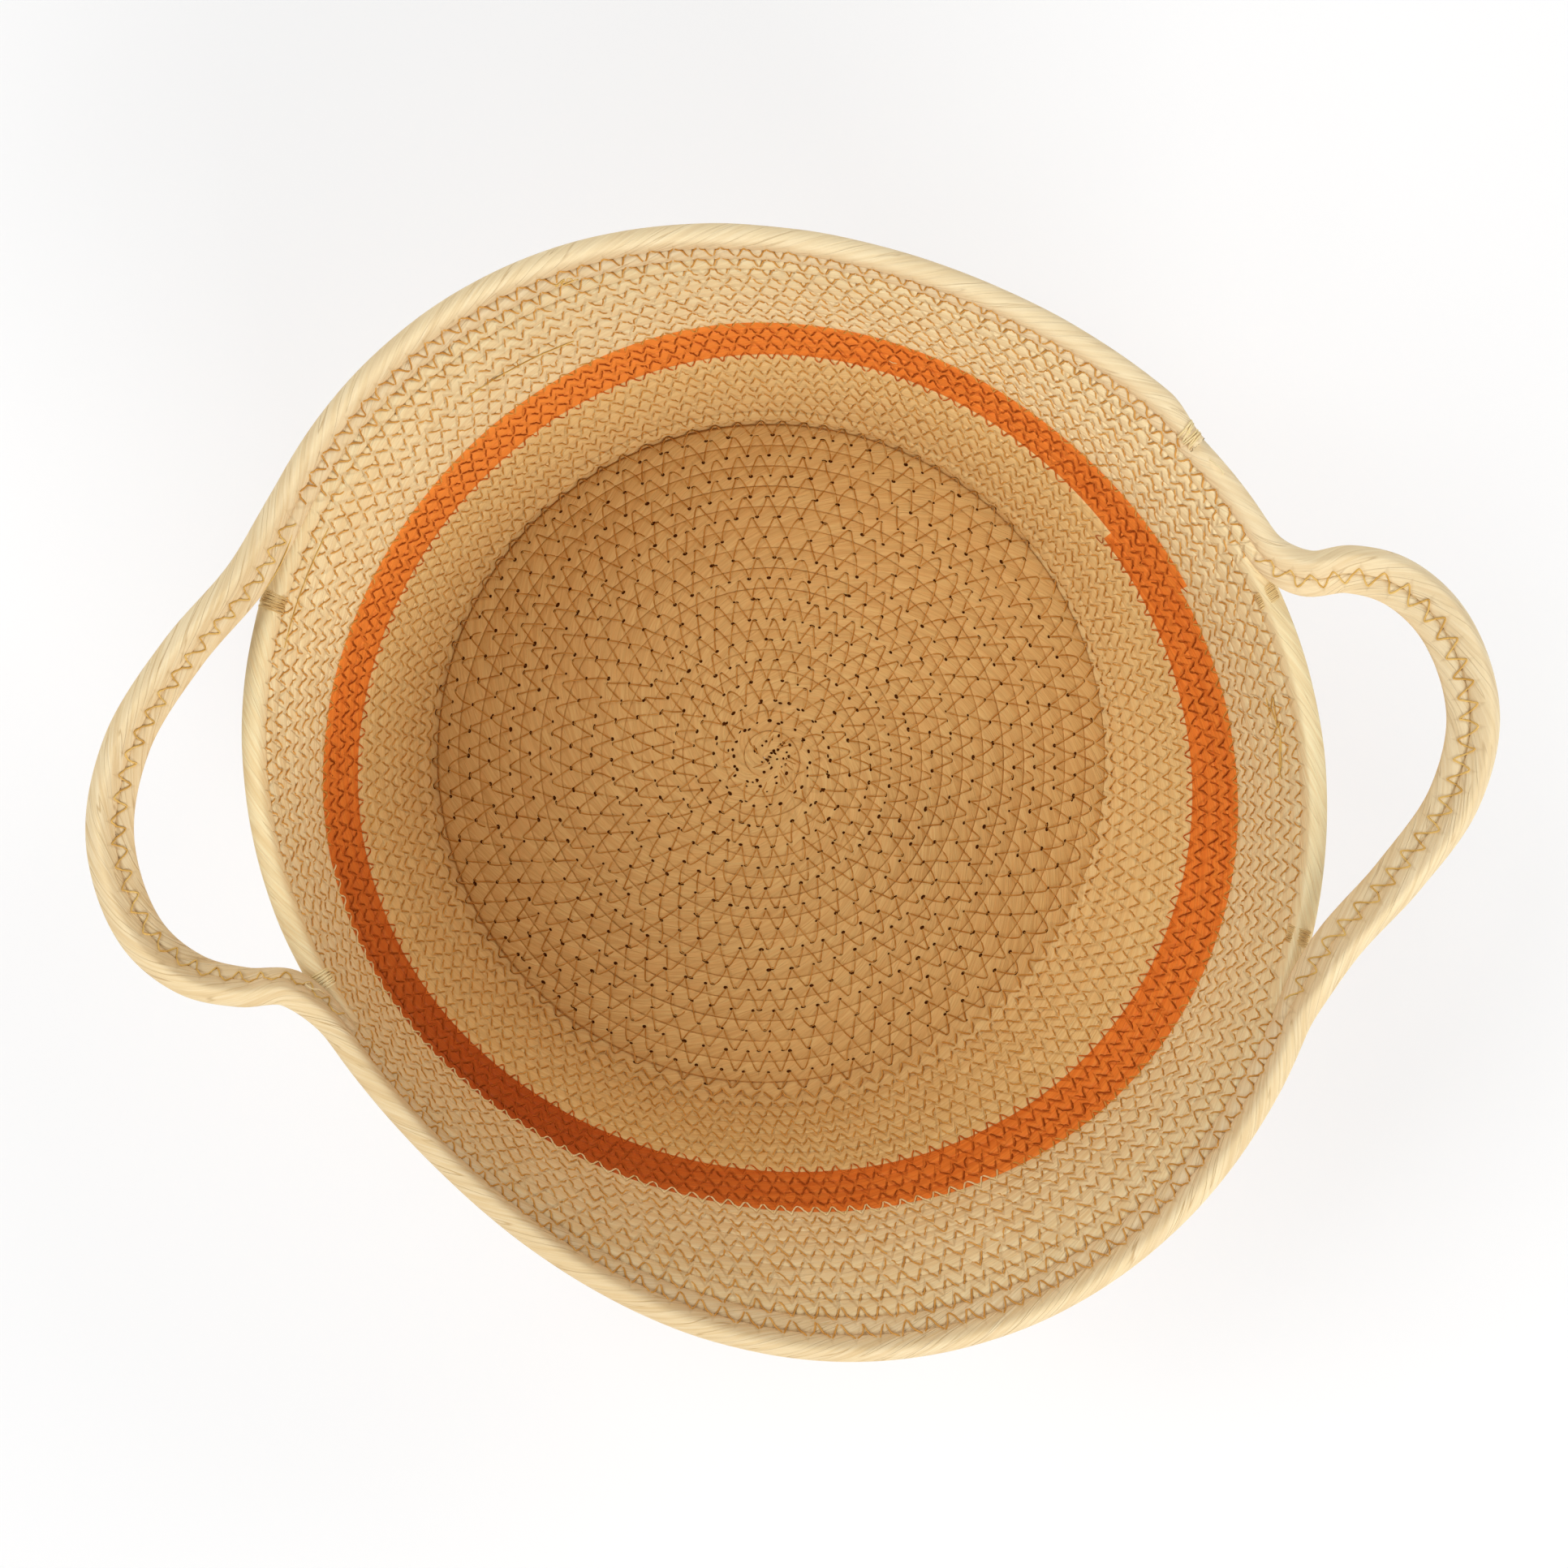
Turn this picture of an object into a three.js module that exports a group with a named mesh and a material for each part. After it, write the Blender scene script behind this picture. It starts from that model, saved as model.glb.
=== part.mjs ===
// Coiled paper rope basket: a flat spiral base, a leaning wall with one coloured stripe, and two
// loop handles that the last two rows of rope make as they leave the rim.
// Millimetres, +Z up. The origin is under the middle of the base, on the surface it stands on.
// The rope is wound clockwise as seen from above, from the middle of the base to the rim.

import * as THREE from 'three';

// Rope
const ropeDiameter = 6.55;
const coilGap = 0.45;
const footFlatShare = 0.1;

// Turns of rope in each part of the coil, in the order they are wound
const baseTurns = 17;
const lowerWallTurns = 8;
const stripeTurns = 4;
const upperWallTurns = 8;
// The two rows above the wall, which leave it at each handle
const handleRows = ['inner', 'outer'];

// The rope's first end: where its straight stretch lies past the middle of the base, how far that
// reaches, the turn at which the bend after it joins the spiral, and how much tighter the bend is
const startOffset = 1.2;
const startReach = 4;
const startTurn = 1.1;
const startTightening = 0.6;

// Angles about +Z in degrees, from +X: the seam where the rows are counted, and how far past it
// the stripe's rope starts and ends and the last row ends
const seamAngle = 37.5;
const stripeStartPast = 4.5;
const stripeEndPast = 15.5;
const lastRowPast = 2;

// Plan outlines of the wall at the top of the stripe and at the rim: how far the rope's middle
// has spread past the base, how far the outline is pushed along X and Y, and how far it is drawn
// into an oval, a trefoil and a quatrefoil about the given angles
const stripeOutline = {
  spread: 24, shiftX: 6, shiftY: -6, oval: 4, ovalAngle: -26, trefoil: 2.9, trefoilAngle: -34,
  quatrefoil: 0.3, quatrefoilAngle: 18,
};
const rimOutline = {
  spread: 38.2, shiftX: 8.6, shiftY: -9.4, oval: 9.8, ovalAngle: -44, trefoil: 2.3, trefoilAngle: 41,
  quatrefoil: 1.4, quatrefoilAngle: 18,
};
const heelRows = 1;
const leanChangeRows = 4;
const flareStart = 0.5;

// Handles: the angles where the two rope rows leave the rim and come back to it, how far the loop
// reaches past the line between those roots, how high it rises, how far its first stretch bows back
// past its root, how far its two rows are tipped from level at its tip, and how far from the roots the
// row under it carries a tack of thread
const handles = [
  {
    name: 'right_handle', startAngle: 22, endAngle: -26, reach: 52.3, riseHeight: 16, startBow: 2.2,
    tipTilt: 34, startTack: 12, endTack: 21,
  },
  {
    name: 'left_handle', startAngle: 212, endAngle: 152, reach: 54.6, riseHeight: 16, startBow: -2.2,
    tipTilt: 60, startTack: 12, endTack: 28,
  },
];
// Route of the loop between its roots, in shares of the root distance and of the reach
const handleRoute = [
  [0.065, 0.2], [0.07, 0.43], [0.105, 0.67], [0.2, 0.89], [0.38, 1], [0.56, 0.88], [0.72, 0.58],
  [0.86, 0.24],
];
const tiltEase = 0.6;
const rootLead = 13;

// Gaps between the ends of rope that meet, on the base and wall and at the handles' roots
const ropeEndGap = 0.5;
const rootGap = 0.6;

// Tacks: thread wrapped round one row of rope, clear of it, and one near the rope's last end
const tackGap = 0.35;
const tackThickness = 0.9;
const tackWidth = 4.5;
const lastTackFromEnd = 3.5;

// Facets: sides of the rope, steps in a turn of the coil, near the middle and further out, and the
// shortest step left beside an end of rope, as a share of a whole one
const coilSides = 6;
const handleSides = 8;
const innerSteps = 11;
const outerToInnerSteps = 2;
const innerTurns = 6;
const leastStepShare = 0.3;
const stepsPerRoutePoint = 2;
// Share of a turn over which the rope's direction is taken, and points per step in the gap measure
const directionStep = 0.001;
const gapPointsPerStep = 4;

// Colours
const naturalRope = { color: 0xe9d3a4, roughness: 0.85, metalness: 0 };
const orangeRope = { color: 0xe0692b, roughness: 0.85, metalness: 0 };
const tanThread = { color: 0xb07a35, roughness: 0.7, metalness: 0 };

const fullTurn = 2 * Math.PI;
const ropeRadius = ropeDiameter / 2;
const pitch = ropeDiameter + coilGap;
const ropeMiddleHeight = ropeRadius - ropeDiameter * footFlatShare;
const baseRadius = pitch * baseTurns;
const spiralStart = Math.round(startTurn * innerSteps) / innerSteps;
const outerSteps = innerSteps * outerToInnerSteps;
const leastStep = leastStepShare / outerSteps;
const stripeTopRow = lowerWallTurns + stripeTurns;
const upperRows = upperWallTurns + handleRows.length;
const up = new THREE.Vector3(0, 0, 1);

function radians(degrees) {
  return THREE.MathUtils.degToRad(degrees);
}

function angleAt(turn) {
  return radians(seamAngle) - fullTurn * turn;
}

// First turn at or after the given one at which the coil passes an angle
function turnAtAngle(degrees, afterTurn) {
  const turns = (angleAt(afterTurn) - radians(degrees)) / fullTurn;
  return afterTurn + turns - Math.floor(turns);
}

function outlineRadius(outline, angle) {
  return baseRadius + outline.spread
    + outline.shiftX * Math.cos(angle)
    + outline.shiftY * Math.sin(angle)
    + outline.oval * Math.cos(2 * (angle - radians(outline.ovalAngle)))
    + outline.trefoil * Math.cos(3 * (angle - radians(outline.trefoilAngle)))
    + outline.quatrefoil * Math.cos(4 * (angle - radians(outline.quatrefoilAngle)));
}

// Sine of the wall's lean from upright, at a height counted in rows above the base's edge. The rope
// tips up from the flat base over the heel, and the upper wall flares more towards the rim.
function wallLean(rows, angle) {
  const stripeRadius = outlineRadius(stripeOutline, angle);
  const lower = (stripeRadius - baseRadius) / (pitch * stripeTopRow);
  const upper = (outlineRadius(rimOutline, angle) - stripeRadius) / (pitch * upperRows);
  const flare = flareStart + (rows - stripeTopRow) / upperRows;
  const change = THREE.MathUtils.smoothstep(
    rows, stripeTopRow - leanChangeRows / 2, stripeTopRow + leanChangeRows / 2);
  const lean = THREE.MathUtils.lerp(lower, upper * flare, change);
  const heel = THREE.MathUtils.smoothstep(rows, 0, heelRows);
  return THREE.MathUtils.lerp(1, lean, heel);
}

// The rope's middle in the upright plane at one angle: each row lies one pitch from the row before
function profileAt(turn, angle) {
  if (turn <= baseTurns) {
    return { radius: pitch * turn, height: ropeMiddleHeight };
  }
  const below = profileAt(turn - 1, angle);
  const lean = wallLean(turn - baseTurns, angle);
  return {
    radius: below.radius + pitch * lean,
    height: below.height + pitch * Math.sqrt(1 - lean * lean),
  };
}

function coilPoint(turn) {
  const angle = angleAt(turn);
  const { radius, height } = profileAt(turn, angle);
  return new THREE.Vector3(radius * Math.cos(angle), radius * Math.sin(angle), height);
}

// A cross-section of rope: its middle, its direction, and the direction across the rows
function section(point, along, across) {
  const tangent = along.clone().normalize();
  const rowward = across.clone().addScaledVector(tangent, -across.dot(tangent)).normalize();
  return { point, tangent, rowward };
}

function coilSection(turn) {
  const along = coilPoint(turn + directionStep).sub(coilPoint(turn - directionStep));
  const across = coilPoint(turn + 1).sub(coilPoint(Math.max(turn - 1, 0)));
  if (turn <= baseTurns) {
    across.copy(coilPoint(turn)).setZ(0);
  }
  return section(coilPoint(turn), along, across);
}

// Sections at whole steps of a turn, so that the facets of each row lie along those of the next
function coilSections(fromTurn, toTurn) {
  const turns = [fromTurn];
  for (let step = Math.ceil(fromTurn * outerSteps); step < toTurn * outerSteps; step += 1) {
    const turn = step / outerSteps;
    const isSkipped = turn < innerTurns && step % outerToInnerSteps !== 0;
    if (!isSkipped && turn - fromTurn > leastStep && toTurn - turn > leastStep) {
      turns.push(turn);
    }
  }
  turns.push(toTurn);
  return turns.map(coilSection);
}

// The rope's first stretch: straight across the middle, then half a turn into the spiral
function startSections() {
  const outward = coilPoint(spiralStart).setZ(0).normalize();
  const sideways = new THREE.Vector3().crossVectors(up, outward);
  const bend = (pitch * spiralStart + startOffset) / 2 - startTightening;
  const centre = outward.clone().multiplyScalar(bend - startOffset).setZ(ropeMiddleHeight);
  const end = centre.clone().addScaledVector(outward, -bend).addScaledVector(sideways, -startReach);
  const list = [section(end, sideways, outward.clone().negate())];
  const halfSteps = Math.ceil(innerSteps / 2);
  for (let i = 0; i < halfSteps; i += 1) {
    const turned = (Math.PI * i) / halfSteps;
    const away = outward.clone().multiplyScalar(-Math.cos(turned));
    away.addScaledVector(sideways, Math.sin(turned));
    const along = outward.clone().multiplyScalar(Math.sin(turned));
    along.addScaledVector(sideways, Math.cos(turned));
    list.push(section(centre.clone().addScaledVector(away, bend), along, away));
  }
  return list;
}

// The points of one cross-section, flat where the rope would pass through the standing surface
function ringPoints({ point, tangent, rowward }, sides, radius = ropeRadius) {
  const inward = new THREE.Vector3().crossVectors(tangent, rowward);
  const ring = [];
  for (let k = 0; k < sides; k += 1) {
    const around = (fullTurn * k) / sides;
    const corner = point.clone();
    corner.addScaledVector(rowward, radius * Math.cos(around));
    corner.addScaledVector(inward, radius * Math.sin(around));
    corner.z = Math.max(corner.z, 0);
    ring.push(corner);
  }
  return ring;
}

// Slides a ring along the rope on to a plane, which leaves a flat end square to the plane's normal
function slideToPlane(ring, tangent, plane) {
  const rate = plane.normal.dot(tangent);
  ring.forEach((corner) => corner.addScaledVector(tangent, -plane.distanceToPoint(corner) / rate));
}

// A closed body whose skin joins each ring of points to the next, with a flat cap at both ends
function skin(rings) {
  const sides = rings[0].length;
  const corners = rings.flat();
  const faces = [];
  for (let i = 0; i + 1 < rings.length; i += 1) {
    for (let k = 0; k < sides; k += 1) {
      const a = i * sides + k;
      const b = i * sides + ((k + 1) % sides);
      faces.push(a, b, a + sides, b, b + sides, a + sides);
    }
  }
  const cap = THREE.ShapeUtils.triangulateShape(flatten(rings[0]), []);
  const last = (rings.length - 1) * sides;
  cap.forEach(([a, b, c]) => {
    faces.push(c, b, a);
    faces.push(last + a, last + b, last + c);
  });
  const geometry = new THREE.BufferGeometry();
  const flat = corners.flatMap((corner) => corner.toArray());
  geometry.setAttribute('position', new THREE.Float32BufferAttribute(flat, 3));
  geometry.setIndex(faces);
  if (signedVolume(corners, faces) < 0) {
    geometry.setIndex(faces.toReversed());
  }
  geometry.computeVertexNormals();
  return geometry;
}

// A ring's outline in its own plane
function flatten(ring) {
  const middle = ring.reduce((sum, corner) => sum.add(corner), new THREE.Vector3());
  middle.divideScalar(ring.length);
  const across = ring[0].clone().sub(middle).normalize();
  const normal = new THREE.Vector3();
  ring.forEach((corner, i) => {
    const next = ring[(i + 1) % ring.length];
    normal.add(corner.clone().sub(middle).cross(next.clone().sub(middle)));
  });
  const side = new THREE.Vector3().crossVectors(normal.normalize(), across);
  return ring.map((corner) => {
    const offset = corner.clone().sub(middle);
    return new THREE.Vector2(offset.dot(across), offset.dot(side));
  });
}

function signedVolume(corners, faces) {
  let volume = 0;
  for (let i = 0; i < faces.length; i += 3) {
    const [a, b, c] = [corners[faces[i]], corners[faces[i + 1]], corners[faces[i + 2]]];
    volume += a.dot(b.clone().cross(c)) / 6;
  }
  return volume;
}

function addMesh(parent, name, geometry, finish) {
  const mesh = new THREE.Mesh(geometry, new THREE.MeshStandardMaterial(finish));
  mesh.name = name;
  parent.add(mesh);
  return mesh;
}

// Least distance between two loops of one tube, measured on points along its edges
function leastSelfGap(rings) {
  const points = [];
  for (let i = 0; i + 1 < rings.length; i += 1) {
    for (let j = 0; j < gapPointsPerStep; j += 1) {
      const share = j / gapPointsPerStep;
      const ring = rings[i].map((corner, k) => corner.clone().lerp(rings[i + 1][k], share));
      ring.forEach((corner) => points.push({ corner, travelled: i + share }));
    }
  }
  const farApart = innerSteps / 2;
  let least = Infinity;
  points.forEach((a, i) => {
    for (let j = i + 1; j < points.length; j += 1) {
      const b = points[j];
      if (b.travelled - a.travelled > farApart) {
        least = Math.min(least, a.corner.distanceToSquared(b.corner));
      }
    }
  });
  return Math.sqrt(least);
}

function addCoil(parent, name, sections, finish, planes = {}) {
  const rings = sections.map((cut) => ringPoints(cut, coilSides));
  if (planes.start) {
    slideToPlane(rings[0], sections[0].tangent, planes.start);
  }
  if (planes.end) {
    slideToPlane(rings.at(-1), sections.at(-1).tangent, planes.end);
  }
  addMesh(parent, name, skin(rings), finish);
  return rings;
}

function addWinding(parent, name, sections, finish, planes) {
  const rings = addCoil(parent, name, sections, finish, planes);
  console.log(`${name}: least gap to itself ${leastSelfGap(rings).toFixed(2)} mm`);
}

// Share of a turn that a length of rope takes up
function turnsAlong(turn, distance) {
  return distance / (fullTurn * profileAt(turn, angleAt(turn)).radius);
}

function endGapTurns(turn) {
  return turnsAlong(turn, ropeEndGap / 2);
}

// The middle of the two rope rows that make a handle, and the way from the lower to the upper row
function bandSection(turn) {
  const lower = coilSection(turn);
  const upper = coilSection(turn + 1);
  const across = upper.point.clone().sub(lower.point);
  const point = lower.point.clone().lerp(upper.point, 0.5);
  return section(point, lower.tangent, across);
}

// Roots, hinge line and route of one handle
function layOutHandle(handle, firstTurn) {
  const leaveTurn = turnAtAngle(handle.startAngle, firstTurn);
  const returnTurn = turnAtAngle(handle.endAngle, firstTurn);
  const start = bandSection(leaveTurn);
  const end = bandSection(returnTurn);
  const hinge = end.point.clone().sub(start.point);
  const axis = hinge.clone().normalize();
  const outward = new THREE.Vector3().crossVectors(up, axis).normalize();
  const knots = handleRoute.map(([along, out]) => start.point.clone()
    .addScaledVector(hinge, along)
    .addScaledVector(axis, -handle.startBow * (1 - along) * Math.sin(Math.PI * out))
    .addScaledVector(outward, out * handle.reach)
    .addScaledVector(up, out * handle.riseHeight));
  const before = bandSection(leaveTurn - turnsAlong(leaveTurn, rootLead)).point;
  const after = bandSection(returnTurn + turnsAlong(returnTurn, rootLead)).point;
  const route = new THREE.CatmullRomCurve3(
    [before, start.point, ...knots, end.point, after], false, 'centripetal');
  return { ...handle, leaveTurn, returnTurn, start, end, axis, route };
}

// Sections along a handle's route: where the band of two rows runs, and which way it faces
function handleBand({ route, start, end, tipTilt }) {
  const segments = route.points.length - 1;
  const count = (segments - 2) * stepsPerRoutePoint;
  const rootTilt = [start, end].map(({ rowward }) => Math.asin(rowward.z));
  const band = [];
  for (let i = 0; i <= count; i += 1) {
    const share = i / count;
    const at = (1 + share * (segments - 2)) / segments;
    const along = route.getTangent(at);
    const sideways = new THREE.Vector3().crossVectors(up, along).normalize();
    const ease = Math.sin(Math.PI * share) ** tiltEase;
    const tilt = THREE.MathUtils.lerp(
      THREE.MathUtils.lerp(rootTilt[0], rootTilt[1], share), radians(tipTilt), ease);
    const across = sideways.multiplyScalar(Math.cos(tilt)).addScaledVector(up, Math.sin(tilt));
    band.push(section(route.getPoint(at), along, across));
  }
  return band;
}

function addHandleRope(parent, layout, side, offset) {
  const band = handleBand(layout);
  const cuts = band.map((cut) => ({
    ...cut, point: cut.point.clone().addScaledVector(cut.rowward, offset),
  }));
  const rings = cuts.map((cut) => ringPoints(cut, handleSides));
  slideToPlane(rings[0], cuts[0].tangent, rootPlane(layout, layout.start, rootGap / 2));
  slideToPlane(rings.at(-1), cuts.at(-1).tangent, rootPlane(layout, layout.end, -rootGap / 2));
  addMesh(parent, `${layout.name}_${side}_rope`, skin(rings), naturalRope);
}

// The plane square to a handle's hinge line at one of its roots
function rootPlane(layout, root, shift) {
  const point = root.point.clone().addScaledVector(layout.axis, shift);
  return new THREE.Plane().setFromNormalAndCoplanarPoint(layout.axis, point);
}

// A ring round the faceted rope of the outer coil, at any turn between two of its rings. The last
// facet of a rope that ends soon after runs on to that end.
function ringBetweenSteps(turn, radius, ropeEnd) {
  const step = Math.min(
    Math.floor(turn * outerSteps), Math.ceil((ropeEnd - leastStep) * outerSteps) - 1);
  const next = (step + 1) / outerSteps;
  const from = step / outerSteps;
  const to = ropeEnd - next > leastStep ? next : ropeEnd;
  const before = ringPoints(coilSection(from), coilSides, radius);
  const after = ringPoints(coilSection(to), coilSides, radius);
  return before.map((corner, k) => corner.lerp(after[k], (turn - from) / (to - from)));
}

// Thread wrapped over the top and the inner face of one row of rope
function addTack(parent, name, turn, ropeEnd = Infinity) {
  const half = turnsAlong(turn, tackWidth / 2);
  const insideRadius = ropeRadius + tackGap;
  const wrapped = [coilSides - 1, 0, 1, 2];
  const rings = [turn - half, turn + half].map((end) => {
    const inside = ringBetweenSteps(end, insideRadius, ropeEnd);
    const outside = ringBetweenSteps(end, insideRadius + tackThickness, ropeEnd);
    return [...wrapped.map((k) => outside[k]), ...wrapped.map((k) => inside[k]).reverse()];
  });
  addMesh(parent, name, skin(rings), tanThread);
}

const stripeStartTurn = baseTurns + lowerWallTurns + radians(stripeStartPast) / fullTurn;
const stripeEndTurn = baseTurns + stripeTopRow + radians(stripeEndPast) / fullTurn;
const wallEndTurn = baseTurns + stripeTopRow + upperWallTurns;
const lastTurn = wallEndTurn + handleRows.length + radians(lastRowPast) / fullTurn;
const [right, left] = handles.map((handle) => layOutHandle(handle, wallEndTurn));

const basket = new THREE.Group();
addWinding(basket, 'base_coil', [
  ...startSections(),
  ...coilSections(spiralStart, baseTurns - endGapTurns(baseTurns)),
], naturalRope);
addWinding(basket, 'lower_wall_coil', coilSections(
  baseTurns + endGapTurns(baseTurns),
  stripeStartTurn - endGapTurns(stripeStartTurn)), naturalRope);
addWinding(basket, 'stripe_coil', coilSections(
  stripeStartTurn + endGapTurns(stripeStartTurn),
  stripeEndTurn - endGapTurns(stripeEndTurn)), orangeRope);
addWinding(basket, 'upper_wall_coil', coilSections(
  stripeEndTurn + endGapTurns(stripeEndTurn), right.leaveTurn),
naturalRope, { end: rootPlane(right, right.start, -rootGap / 2) });

// Rim rows between the handles, from one handle's root to the next
handleRows.forEach((side, row) => {
  const isLast = row === handleRows.length - 1;
  addCoil(basket, `front_rim_${side}_rope`, coilSections(right.returnTurn + row, left.leaveTurn + row),
    naturalRope, {
      start: rootPlane(right, right.end, rootGap / 2),
      end: rootPlane(left, left.start, -rootGap / 2),
    });
  const backEnd = isLast ? lastTurn : right.leaveTurn + row + 1;
  addCoil(basket, `back_rim_${side}_rope`, coilSections(left.returnTurn + row, backEnd),
    naturalRope, {
      start: rootPlane(left, left.end, rootGap / 2),
      end: isLast ? undefined : rootPlane(right, right.start, -rootGap / 2),
    });
});

[right, left].forEach((layout) => {
  const rowUnder = { start: layout.leaveTurn - 1, end: layout.returnTurn - 1 };
  addTack(basket, `${layout.name}_start_tack`,
    rowUnder.start + turnsAlong(rowUnder.start, layout.startTack));
  addTack(basket, `${layout.name}_end_tack`,
    rowUnder.end - turnsAlong(rowUnder.end, layout.endTack));
  const loop = new THREE.Group();
  loop.name = layout.name;
  handleRows.forEach((side, row) => {
    addHandleRope(loop, layout, side, pitch * (row - (handleRows.length - 1) / 2));
  });
  basket.add(loop);
  const words = [layout.start.point, layout.axis].map((v) => v.toArray().map((n) => n.toFixed(4)));
  console.log(`${layout.name}: hinge through ${words[0].join(', ')} along ${words[1].join(', ')}`);
});
addTack(basket, 'rope_end_tack', lastTurn - turnsAlong(lastTurn, lastTackFromEnd), lastTurn);

export default basket;
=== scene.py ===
import math

import bpy
import numpy as np
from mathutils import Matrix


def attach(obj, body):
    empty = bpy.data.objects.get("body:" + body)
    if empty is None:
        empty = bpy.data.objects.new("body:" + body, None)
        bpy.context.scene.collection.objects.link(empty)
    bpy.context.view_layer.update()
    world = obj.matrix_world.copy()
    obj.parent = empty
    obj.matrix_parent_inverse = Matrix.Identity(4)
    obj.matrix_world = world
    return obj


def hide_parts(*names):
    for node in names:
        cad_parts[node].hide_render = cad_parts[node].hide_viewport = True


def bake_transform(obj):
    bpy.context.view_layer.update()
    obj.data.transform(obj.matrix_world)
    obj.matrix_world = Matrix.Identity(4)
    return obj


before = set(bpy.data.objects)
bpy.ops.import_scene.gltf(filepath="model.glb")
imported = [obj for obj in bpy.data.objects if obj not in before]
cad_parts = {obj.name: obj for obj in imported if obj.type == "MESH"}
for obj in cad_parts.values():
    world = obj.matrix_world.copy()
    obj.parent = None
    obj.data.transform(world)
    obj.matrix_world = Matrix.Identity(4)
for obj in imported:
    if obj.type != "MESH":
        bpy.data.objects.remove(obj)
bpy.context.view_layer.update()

RNG = np.random.default_rng(7)

# Sizes of the basket in millimetres, turns, rows and degrees, as its solids have them
ROPE_DIAMETER = 6.55
PITCH = 7.0
FOOT_FLAT_SHARE = 0.1
BASE_TURNS = 17
LOWER_TURNS = 8
STRIPE_TURNS = 4
UPPER_TURNS = 8
RIM_ROWS = 2
SEAM_ANGLE = 37.5
STRIPE_START_PAST = 4.5
STRIPE_END_PAST = 15.5
LAST_ROW_PAST = 2
# Plan outlines of the wall: its spread past the base, how far it is pushed along X and Y, and its lobes,
# each with a size and the angle that it points at
STRIPE_OUTLINE = {
    "spread": 24, "shift": (6, -6), "oval": (4, -26), "trefoil": (2.9, -34), "quatrefoil": (0.3, 18),
}
RIM_OUTLINE = {
    "spread": 38.2, "shift": (8.6, -9.4), "oval": (9.8, -44), "trefoil": (2.3, 41), "quatrefoil": (1.4, 18),
}
HEEL_ROWS = 1
LEAN_CHANGE_ROWS = 4
FLARE_START = 0.5
HANDLES = {
    "right": {
        "start": 22, "end": -26, "reach": 52.3, "rise": 16, "bow": 2.2, "tilt": 34, "tacks": (12, 21),
    },
    "left": {
        "start": 212, "end": 152, "reach": 54.6, "rise": 16, "bow": -2.2, "tilt": 60, "tacks": (12, 28),
    },
}
# Route of a handle's loop, in shares of the distance between its roots and of its reach
HANDLE_ROUTE = (
    (0.065, 0.2), (0.07, 0.43), (0.105, 0.67), (0.2, 0.89), (0.38, 1), (0.56, 0.88), (0.72, 0.58),
    (0.86, 0.24),
)
TILT_EASE = 0.6
ROOT_LEAD = 13
TACK_WIDTH = 4.5
LAST_TACK_FROM_END = 3.5

# The rope as it is seen: rows pressed together, flatter on the base and rounder at the rim. Its section is
# given at some turns of the coil, and its lay is the length of one twist of the paper
RING_SPACING = 1.5
ROPE_SIDES = 16
FOOT_HEIGHT = 0.45
SECTION_TURNS = (0, 15.4, 16.2, 18, 35.6, 36.6, 40)
HALF_WIDTH = (3.58, 3.58, 3.56, 3.56, 3.56, 3.56, 3.56)
HALF_THICKNESS = (2.95, 2.95, 2.95, 3.0, 3.0, 3.2, 3.2)
SQUARENESS = (9, 9, 9, 8, 7, 2.8, 2.8)
HANDLE_HALF_WIDTH = 3.64
HANDLE_SQUARENESS = 3.9
LAY_TURNS = (16, 18, 35.6, 36.6)
LAYS = (46.0, 70.0, 70.0, 44.0)
HANDLE_LAY = 58.0

# The rope's first end: the turn from which it winds, the turns before that in which it swells, its half
# width at the start, and how far its foot is lifted and between which turns
START_TURN = 0.5
START_TAPER = 0.82
START_HALF_WIDTH = 0.8
START_LIFT = 0.3
START_LIFT_TURNS = (-0.2, 1.0)
TIGHT_TURNS = 2

# The heel, where rows turn up sharply and the rope is pressed out to fill the corner inside
HEEL_FILL = 1.5
HEEL_TURNS = (15.9, 18.5)
HEEL_BEND = 0.455

# The rope's last end, tucked in and down over the row under it
TUCK_LENGTH = 16
TUCK_IN = 1.6
TUCK_DOWN = 1.2
TUCK_NARROWING = 0.2
TUCK_THINNING = 0.3

# Handle roots: how often the rope's line is eased there and over how many rings, and over how many its
# section changes
ROOT_EASINGS = 14
ROOT_EASED_RINGS = (3, 12)
SECTION_EASED_RINGS = 4

# Where two rows stand a little apart: from and to this turn of the lower row, and the width of the gap
GAPS = ((16.92, 17.14, 0.4), (22.26, 22.46, 0.5), (27.43, 27.58, 0.85), (32.7, 32.85, 0.35))
GAP_EASE = 0.04

# Unevenness along the rope: a seed, the length of one wave and its reach
SEAM_DRIFT = (3, 70, 0.3)
THICKNESS_DRIFT = (5, 14, 0.02)
BASE_WIDTH_DRIFT = (9, 55, 0.06)
BASE_DRIFT_END = 15.6

# Painted shade and light around the basket: spots at an angle, with a width in degrees and a strength, above
# 0 darker (painted shade) and below 0 paler (painted light)
STRIPE_PAINTED_SHADE_AND_LIGHT = ((234, 44, 1.0), (125, 40, -1.0))
PAPER_PAINTED_SHADE_AND_LIGHT = ((250, 55, 0.29), (60, 75, -0.5))

# Sewing: the length of one zigzag and where in it the upper needle hole falls, at some turns of the coil
SEAM_TURNS = (1, 6, 9.5, 16, 17, 28, 31)
ZIGZAGS = (4.6, 5.8, 7.3, 7.6, 5.4, 5.4, 6.3)
ZIGZAG_LEANS = (0.46, 0.46, 0.46, 0.46, 0.34, 0.34, 0.34)
THREAD_RADIUS = 0.27
THREAD_SINK = 0.2
THREAD_SIDES = 4
THREAD_CLEAR_OF_FLOOR = 0.1
STROKE_POINTS = 8
BRIDGE_HEIGHT = 0.78
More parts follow.
